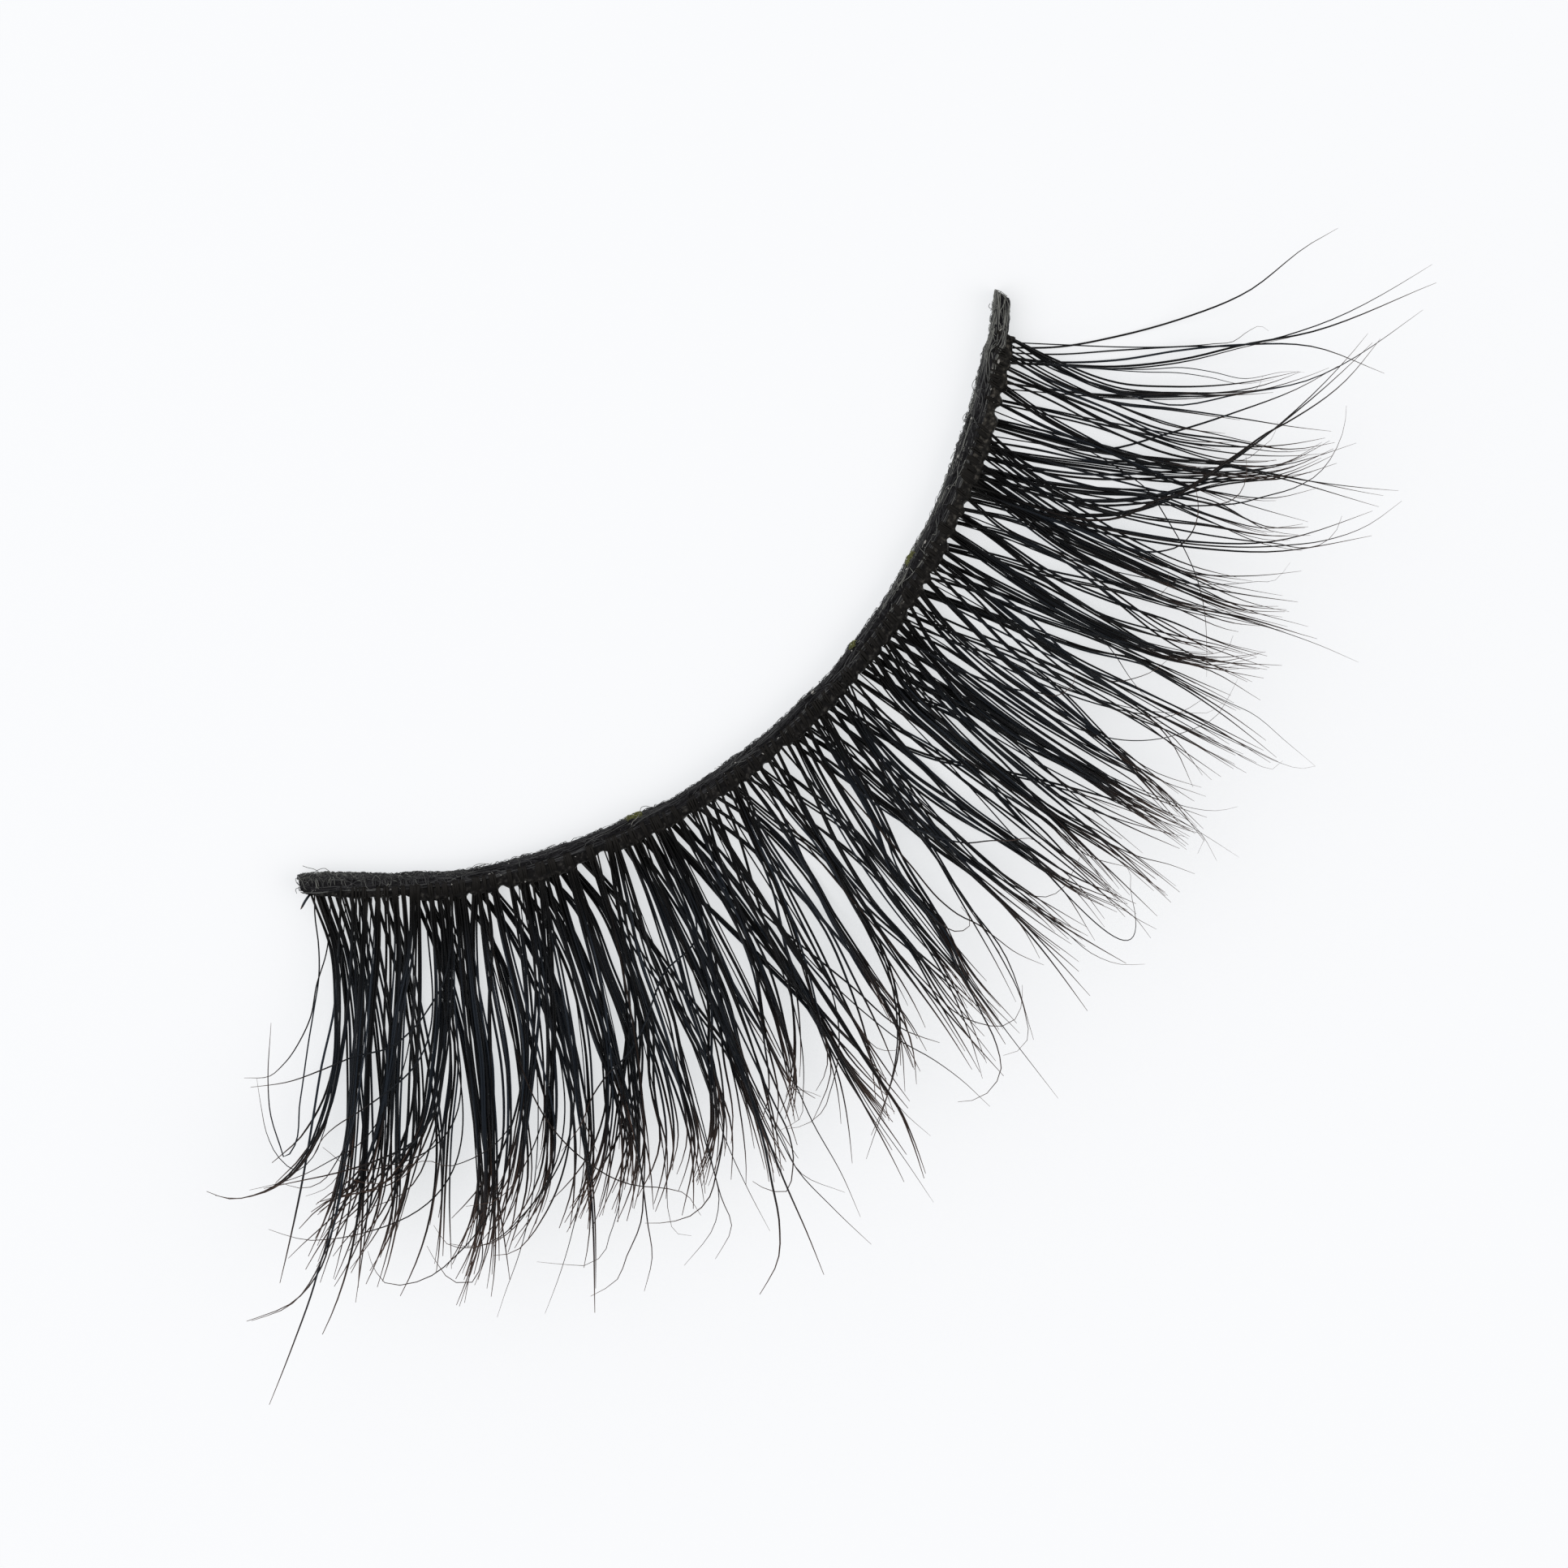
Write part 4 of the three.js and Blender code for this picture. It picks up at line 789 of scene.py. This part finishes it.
# %% Fibres on the band's surface
FIBRE_SHARES = np.linspace(0, 1, 9)
FADED_ALONG = [-16.4, -13, -9, 4, 7, 14.5, 15.2, 16.4]
FADED = [0.08, 0.0, -0.05, -0.05, 0.15, 0.18, 0.46, 0.5]
TOP_TO_REAR = (math.radians(40), math.radians(215))
REAR_HALF = (math.radians(88), math.radians(215))
REAR_EDGE = (math.radians(120), math.radians(215))
REAR_TOP = (math.radians(115), math.radians(150))
WHOLE_BAND = (-HALF_BAND, HALF_BAND)
LEFT_OVERHANG, RIGHT_OVERHANG = 0.06, 0.03
SWAY_ALONG, SWAY_ROUND = 0.12, 0.06
# The palest tone of the cotton strands, and the top of the flecks' painted highlights.
PALEST_COTTON_AND_GLINT = 0.88
LINT_TONE = 0.94


def band_fibres(count, where, lengths, turns, twist, loft, radius, tones):
    """Tubes on the band: where along it, their lengths, angles, twist, distance from it and tones."""
    share = FIBRE_SHARES[None, :]
    length = random.uniform(*lengths, count)[:, None] * random.choice([-1, 1], (count, 1))
    along = random.uniform(*where, count)[:, None] + length * (share - 0.5)
    wave = np.sin(2 * math.pi * (share * random.uniform(0.4, 1.3, (count, 1)) + random.random((count, 1))))
    along = along + SWAY_ALONG * length * wave
    turn = random.uniform(*turns, count)[:, None] + random.normal(*twist, count)[:, None] * (share - 0.5)
    turn = turn + SWAY_ROUND * random.normal(0, 1, (count, 1)) * wave
    rise = np.sin(math.pi * share * random.uniform(0.5, 1, (count, 1)))
    lift = radius + random.uniform(*loft, count)[:, None] * rise
    along = np.clip(along, -HALF_BAND - LEFT_OVERHANG, HALF_BAND + RIGHT_OVERHANG)
    along, out, height = band_place(along, *squircle(turn), lift)
    path = on_arc(along, out, np.maximum(height, 1.5 * radius))
    radii = radius * random.uniform(0.7, 1.3, (count, 1)) * (1 - 0.55 * share**3)
    tone = random.uniform(*tones, count)
    faded = np.minimum(tone + np.interp(along[:, 0], FADED_ALONG, FADED), PALEST_COTTON_AND_GLINT)
    return path, radii, np.where(tone < LINT_TONE, faded, tone)


# %% Strands, wool and lint
LEFT_WOOL_TO = -11
TUFTS = [(-5.25, 45, 0.22), (3.85, 16, 0.1), (7.2, 34, 0.18)]

strands = band_fibres(
    1900, WHOLE_BAND, lengths=(0.4, 1.5), turns=TOP_TO_REAR, twist=(0.0, 0.26),
    loft=(0.0, 0.02), radius=0.0125, tones=(0.0, 0.8),
)
left_wool = band_fibres(
    850, (-HALF_BAND, LEFT_WOOL_TO), lengths=(0.05, 0.2), turns=REAR_HALF, twist=(0.15, 0.4),
    loft=(0.02, 0.09), radius=0.01, tones=(0.3, 0.85),
)
edge_wool = band_fibres(
    1100, WHOLE_BAND, lengths=(0.08, 0.4), turns=REAR_EDGE, twist=(0.2, 0.5),
    loft=(0.01, 0.1), radius=0.009, tones=(0.3, 0.85),
)
# Short pale flecks on the band's top are painted highlights: their pale colour stands in for glints on the
# cotton.
glint_flecks = band_fibres(
    320, WHOLE_BAND, lengths=(0.05, 0.22), turns=TOP_TO_REAR, twist=(0.0, 0.3),
    loft=(0.0, 0.02), radius=0.011, tones=(0.74, PALEST_COTTON_AND_GLINT),
)
tufts = [
    band_fibres(
        count, (place - width, place + width), lengths=(0.1, 0.3), turns=REAR_TOP, twist=(0.2, 0.3),
        loft=(0.03, 0.12), radius=0.011, tones=(0.945, 0.975),
    )
    for place, count, width in TUFTS
]
print(len(strands[0]), "strands and", len(left_wool[0]) + len(edge_wool[0]), "wool fibres")

# %% Lone threads, and both meshes
THREAD_RADIUS, THREAD_LIFT, THREAD_ARCH = 0.009, 0.02, 0.04
THREADS = [
    (0.8, (-16.2, -0.48), (-16.05, -0.44), (-15.8, -0.4), (-15.6, -0.28)),
    (0.5, (-15.9, -0.2), (-15.7, -0.38), (-15.45, -0.45), (-15.3, -0.35)),
    (0.6, (-16.2, -0.1), (-16.38, -0.05), (-16.33, 0.1)),
    (0.9, (-5.38, 0.04), (-5.3, -0.04), (-5.15, -0.08), (-4.95, -0.19)),
    (0.8, (-10.75, -0.14), (-10.6, -0.25), (-10.35, -0.27), (-10.1, -0.19)),
    (0.7, (-4.95, -0.22), (-4.85, -0.33), (-4.7, -0.31), (-4.55, -0.18)),
    (0.6, (11.95, -0.24), (12.05, -0.4), (12.2, -0.38), (12.35, -0.24)),
    (0.5, (13.0, -0.24), (13.15, -0.37), (13.35, -0.35), (13.5, -0.24)),
    (0.6, (15.7, -0.1), (15.8, -0.26), (15.9, -0.22)),
    (0.4, (-16.1, 0.2), (-16.35, 0.3), (-16.3, 0.42)),
]


def thread(tone, *charted):
    """Path, radii and tone of a lone thread that lies on the band and hangs over its edge."""
    places, _ = curve_through(charted, FIBRE_SHARES[None, :])
    height = BAND_HEIGHT + THREAD_LIFT + THREAD_ARCH * np.sin(math.pi * FIBRE_SHARES)[None, :]
    radii = np.full((1, len(FIBRE_SHARES)), THREAD_RADIUS)
    return on_arc(places[..., 0], places[..., 1], height), radii, np.array([tone])


wool = joined([left_wool, edge_wool, glint_flecks, *tufts, *[thread(*t) for t in THREADS]])
band_yarn = tube_mesh("band_yarn", *strands, FIBRE_SHARES, sides=4)
band_wool = tube_mesh("band_wool", *wool, FIBRE_SHARES, sides=4)

# %% [markdown]
# ## Specks of dried glue, with painted glints
# Tiny specks of glue sit on the band. Each is a tiny oval ball with a gloss, and its pale, nearly
# white colour is a painted highlight. One small sphere is modelled, and its copies are worked out as
# one array: a charted speck for each that shows, and a sprinkle of finer ones that the eye reads as
# sparkle, their glints painted too. The map to the arc mirrors the ball, because out points to -y,
# so its faces are turned round to look outward again.

# %% The specks
bpy.ops.object.select_all(action="DESELECT")
bpy.ops.mesh.primitive_ico_sphere_add(subdivisions=2, radius=0.5)
ball = bpy.context.object
ball_points = corners_of(ball)
ball_faces = np.array([list(face.vertices)[::-1] for face in ball.data.polygons])
bpy.data.objects.remove(ball, do_unlink=True)

FINE_SPECKS = 150
# The higher a speck's tone, the paler its painted highlight; the charted specks get a high one.
CHARTED_TONE = 0.8
SPECK_LIFT, GLUE_FALL, FALL_FROM = 0.01, 0.16, 0.2
SPECKS = [
    (-16.05, -0.05, 0.06, 0.04), (-14.6, 0.02, 0.05, 0.04), (-13.35, 0.2, 0.05, 0.03),
    (-11.4, 0.23, 0.05, 0.08), (-10.17, 0.11, 0.09, 0.07), (-10.12, 0.17, 0.05, 0.05),
    (-9.13, 0.6, 0.05, 0.06), (-4.8, 0, 0.05, 0.03), (-1.5, 0, 0.09, 0.05),
    (-0.63, 0.3, 0.08, 0.04), (0.05, 0.22, 0.09, 0.03), (1.85, -0.11, 0.13, 0.06),
    (3.68, -0.07, 0.06, 0.05), (6.85, -0.14, 0.1, 0.05), (7.9, -0.05, 0.15, 0.07),
    (9.77, -0.1, 0.07, 0.05), (10.85, -0.18, 0.12, 0.05), (12.15, -0.14, 0.1, 0.05),
    (13.2, 0.24, 0.08, 0.04), (13.85, 0.15, 0.07, 0.04), (15.1, 0.2, 0.12, 0.05),
    (14.1, 0.3, 0.16, 0.09), (-7.4, 0.3, 0.05, 0.03), (-9.5, -0.1, 0.05, 0.03),
]


def specks():
    """Copies of the ball on top of the band: their points, faces and tones."""
    rows = [(*speck, CHARTED_TONE) for speck in SPECKS]
    ranges = ((-16, 15.5), (-0.2, 0.5), (0.015, 0.045), (0.012, 0.03))
    sprinkled = [random.uniform(*span, FINE_SPECKS) for span in ranges]
    rows += list(zip(*sprinkled, random.random(FINE_SPECKS) ** 2))
    points, faces, tones = [], [], []
    for row, (along, out, length, width, tone) in enumerate(rows):
        turned = random.normal(0.15, 0.3)
        x, y, z = ball_points.T * np.array([[length], [width], [min(length, width)]])
        along = along + x * math.cos(turned) - y * math.sin(turned)
        out = out + x * math.sin(turned) + y * math.cos(turned)
        top = BAND_HEIGHT + SPECK_LIFT - GLUE_FALL * np.clip(out - FALL_FROM, 0, None)
        points.append(on_arc(along, out, top + z))
        faces.append(ball_faces + row * len(ball_points))
        tones.append(np.full(len(ball_points), tone))
    return np.concatenate(points), np.concatenate(faces).tolist(), np.concatenate(tones)


speck_points, speck_faces, speck_tones = specks()
glue_specks = joined_mesh("glue_specks", speck_points, speck_faces, speck_tones, np.zeros(len(speck_points)))
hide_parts("cotton_band")
for piece in (band_core, root_glue, band_yarn, band_wool, glue_specks):
    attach(piece, "root")

# %% [markdown]
# ## A material for hair
# Black hair is never plain black. Its body is nearly black, some hairs get a cool satin sheen along
# their middle, a painted highlight in the base colour, and the thin ends turn brown because light
# passes through them. The colour ramps read the UV map: U is the hair's tone, which sets its painted
# cool sheen or its brown, V the share of its length.

# %% Helpers for materials
def shader(name):
    """A new material, its nodes, its links and its Principled shader."""
    material = bpy.data.materials.new(name)
    material.use_nodes = True
    nodes = material.node_tree.nodes
    return material, nodes, material.node_tree.links, nodes["Principled BSDF"]


def ramp(nodes, stops):
    """A colour ramp from a list of (place, colour)."""
    node = nodes.new("ShaderNodeValToRGB")
    elements = node.color_ramp.elements
    while len(elements) < len(stops):
        elements.new(1.0)
    for element, (place, colour) in zip(elements, stops):
        element.position = place
        element.color = (*colour, 1)
    return node


def strand_map(nodes, links):
    """The outputs of the strand UV map taken apart: X is the tone, Y the share of the length."""
    uv = nodes.new("ShaderNodeUVMap")
    uv.uv_map = "strand"
    parts = nodes.new("ShaderNodeSeparateXYZ")
    links.new(uv.outputs["UV"], parts.inputs[0])
    return parts.outputs


def set_gloss(principled, roughness, specular):
    """Sets how rough a finish is and how much it reflects."""
    principled.inputs["Roughness"].default_value = roughness
    principled.inputs["Specular IOR Level"].default_value = specular


def mixed(nodes, links, factor, first, second):
    """A colour mix of the outputs first and second, by the output factor."""
    node = nodes.new("ShaderNodeMix")
    node.data_type = "RGBA"
    links.new(factor, node.inputs["Factor"])
    links.new(first, node.inputs["A"])
    links.new(second, node.inputs["B"])
    return node.outputs["Result"]


# %% The hair material
def hair_material():
    """Black hair: a painted cool sheen or a brown along its middle by its tone, and brown at its thin end.
    """
    material, nodes, links, principled = shader("lash_hair")
    strand = strand_map(nodes, links)
    # Low tones give a painted cool sheen, a highlight painted into the base colour; high tones a brown.
    tone = ramp(nodes, [
        (0.0, (0.036, 0.048, 0.064)), (0.2, (0.017, 0.022, 0.029)), (0.45, (0.01, 0.0115, 0.0135)),
        (0.72, (0.0085, 0.009, 0.0095)), (0.85, (0.013, 0.011, 0.0105)), (1.0, (0.06, 0.036, 0.025)),
    ])
    body = ramp(nodes, [
        (0.0, (0.022, 0.0205, 0.018)), (0.08, (0.003, 0.003, 0.003)), (0.12, (0.003, 0.003, 0.003)),
        (0.7, (0.008, 0.0075, 0.0075)), (0.85, (0.045, 0.03, 0.024)), (1.0, (0.16, 0.1, 0.075)),
    ])
    # This ramp keeps the painted sheen, and the brown, to the middle of the hair's length.
    middle = ramp(nodes, [(0.1, (0, 0, 0)), (0.3, (1, 1, 1)), (0.65, (1, 1, 1)), (0.88, (0.1, 0.1, 0.1))])
    links.new(strand["X"], tone.inputs["Fac"])
    links.new(strand["Y"], body.inputs["Fac"])
    links.new(strand["Y"], middle.inputs["Fac"])
    colour = mixed(nodes, links, middle.outputs["Color"], body.outputs["Color"], tone.outputs["Color"])
    links.new(colour, principled.inputs["Base Color"])
    set_gloss(principled, roughness=0.38, specular=0.14)
    return material


black_hair = hair_material()
for piece in (lower_hairs, upper_hairs, stray_hairs):
    piece.data.materials.append(black_hair)

# %% [markdown]
# ## Cotton and glue
# Dyed cotton is matt and swallows light, so it gets a rough black with a fine bump. Noise in Object
# coordinates mixes a washed-out grey into it. The strands read their tone from the UV map, from
# black through grey to pale, and the pale flecks among them are painted highlights; the last of the
# ramp is an olive for the lint. The black glue is a little smoother and pales to the right, and the
# glossy specks go from dark grey to nearly white, the white being a painted highlight.

# %% A fine grain
def bumped(nodes, links, principled, scale, strength, distance):
    """A fine bump from noise in Object coordinates, and that noise's output."""
    coordinates = nodes.new("ShaderNodeTexCoord")
    grain = nodes.new("ShaderNodeTexNoise")
    grain.inputs["Scale"].default_value = scale
    grain.inputs["Detail"].default_value = 4
    bump = nodes.new("ShaderNodeBump")
    bump.inputs["Strength"].default_value = strength
    bump.inputs["Distance"].default_value = distance
    links.new(coordinates.outputs["Object"], grain.inputs["Vector"])
    links.new(grain.outputs["Fac"], bump.inputs["Height"])
    links.new(bump.outputs["Normal"], principled.inputs["Normal"])
    return grain.outputs["Fac"]


# %% Cotton and glue
PALE_FROM, PALE_TO = 4, 13


def core_material():
    """Matt black cotton with a washed-out grey in it."""
    material, nodes, links, principled = shader("cotton_core")
    grain = bumped(nodes, links, principled, scale=9000, strength=0.8, distance=0.03 * MM)
    tone = ramp(nodes, [
        (0.35, (0.012, 0.012, 0.013)), (0.6, (0.03, 0.03, 0.032)), (0.75, (0.07, 0.072, 0.074)),
    ])
    links.new(grain, tone.inputs["Fac"])
    links.new(tone.outputs["Color"], principled.inputs["Base Color"])
    set_gloss(principled, roughness=0.9, specular=0.1)
    return material


def glue_material():
    """Black glue that pales from the middle of the strip to its right end."""
    material, nodes, links, principled = shader("root_glue")
    grain = bumped(nodes, links, principled, scale=7000, strength=0.5, distance=0.02 * MM)
    dark = ramp(nodes, [
        (0.4, (0.006, 0.006, 0.006)), (0.55, (0.018, 0.017, 0.016)), (0.7, (0.07, 0.068, 0.06)),
    ])
    pale = ramp(nodes, [
        (0.4, (0.011, 0.0105, 0.0095)), (0.55, (0.036, 0.034, 0.029)), (0.7, (0.13, 0.12, 0.1)),
    ])
    place = nodes.new("ShaderNodeSeparateXYZ")
    links.new(nodes["Texture Coordinate"].outputs["Object"], place.inputs[0])
    faded = nodes.new("ShaderNodeMapRange")
    faded.inputs["From Min"].default_value = PALE_FROM * MM
    faded.inputs["From Max"].default_value = PALE_TO * MM
    links.new(place.outputs["X"], faded.inputs["Value"])
    links.new(grain, dark.inputs["Fac"])
    links.new(grain, pale.inputs["Fac"])
    colour = mixed(nodes, links, faded.outputs["Result"], dark.outputs["Color"], pale.outputs["Color"])
    links.new(colour, principled.inputs["Base Color"])
    set_gloss(principled, roughness=0.5, specular=0.12)
    return material


# %% Strands and specks, toned by their UV map
def toned_material(name, stops, roughness, specular):
    """A material whose colour follows the tone in the U of the UV map."""
    material, nodes, links, principled = shader(name)
    tone = ramp(nodes, stops)
    links.new(strand_map(nodes, links)["X"], tone.inputs["Fac"])
    links.new(tone.outputs["Color"], principled.inputs["Base Color"])
    set_gloss(principled, roughness, specular)
    return material


# Stops from 0.75 to 0.88 hold the palest cotton and the painted highlights of the flecks; from 0.93 up is
# pale and olive lint.
YARN_AND_GLINT_STOPS = [
    (0.0, (0.008, 0.008, 0.009)), (0.25, (0.04, 0.04, 0.043)), (0.55, (0.085, 0.087, 0.09)),
    (0.75, (0.16, 0.165, 0.16)), (0.88, (0.32, 0.33, 0.3)), (0.93, (0.6, 0.58, 0.52)),
    (0.95, (0.18, 0.19, 0.07)), (1.0, (0.42, 0.45, 0.18)),
]
# The near-white end of this ramp is a painted highlight on the glossy glue specks.
SPECK_GLINT_STOPS = [(0.0, (0.03, 0.03, 0.03)), (0.5, (0.12, 0.12, 0.11)), (1.0, (0.75, 0.74, 0.68))]
band_core.data.materials.append(core_material())
root_glue.data.materials.append(glue_material())
cotton_yarn = toned_material("cotton_yarn", YARN_AND_GLINT_STOPS, roughness=0.85, specular=0.15)
band_yarn.data.materials.append(cotton_yarn)
band_wool.data.materials.append(cotton_yarn)
speck_glint = toned_material("glue_speck", SPECK_GLINT_STOPS, roughness=0.3, specular=0.5)
glue_specks.data.materials.append(speck_glint)

# %% [markdown]
# ## Table, light and camera
# The strip lies on a pale table and is seen from straight above, turned so that the band runs from
# the lower left to the upper right. A long lens keeps the picture nearly free of perspective. Broad
# panels, one cool and one slightly warm, light it with soft shadows. More than half of the table's
# brightness is a glow of its own, so that it stays even between the lashes.

# %% The table
TABLE_SIZE = 1.2
TABLE_DROP = 0.01 * MM
bpy.ops.object.select_all(action="DESELECT")
bpy.ops.mesh.primitive_plane_add(size=TABLE_SIZE, location=(0, 0, -TABLE_DROP))
table = bpy.context.object
table.name = "table"
table_material, nodes, links, principled = shader("table")
principled.inputs["Base Color"].default_value = (0.67, 0.67, 0.67, 1)
set_gloss(principled, roughness=0.9, specular=0.1)
principled.inputs["Emission Color"].default_value = (0.958, 0.985, 1, 1)
principled.inputs["Emission Strength"].default_value = 0.615
table.data.materials.append(table_material)


# %% The lights
def area_light(name, size, power, colour, place):
    """A square panel of light at a place, turned to face the strip."""
    light = bpy.data.lights.new(name, "AREA")
    light.shape = "SQUARE"
    light.size = size
    light.energy = power
    light.color = colour
    lamp = bpy.data.objects.new(name, light)
    lamp.location = place
    lamp.rotation_mode = "QUATERNION"
    lamp.rotation_quaternion = lamp.location.to_track_quat("Z", "Y")
    bpy.context.scene.collection.objects.link(lamp)


area_light("sky_panel", size=0.5, power=0.62, colour=(0.99, 0.965, 1.0), place=(-0.2, 0.16, 0.42))
area_light("warm_panel", size=0.4, power=0.36, colour=(1.0, 0.95, 0.92), place=(0.2, -0.3, 0.36))
world = bpy.data.worlds.new("room")
world.use_nodes = True
background = world.node_tree.nodes["Background"]
background.inputs["Color"].default_value = (0.99, 0.975, 1.0, 1)
background.inputs["Strength"].default_value = 0.31
bpy.context.scene.world = world
bpy.context.scene.view_settings.view_transform = "Standard"

# %% The camera
FRAME_WIDTH = 50.13 * MM
LENS = 300
SENSOR = 36
CAMERA_TURN = math.radians(-40.07)
AIM = (-0.748 * MM, -1.467 * MM)
lens = bpy.data.cameras.new("camera")
lens.lens = LENS
lens.sensor_width = SENSOR
lens.clip_start = 0.01
lens.clip_end = 10
camera = bpy.data.objects.new("camera", lens)
camera.location = (*AIM, BAND_HEIGHT * MM + FRAME_WIDTH * LENS / SENSOR)
camera.rotation_euler = (0, 0, CAMERA_TURN)
bpy.context.scene.collection.objects.link(camera)
bpy.context.scene.camera = camera
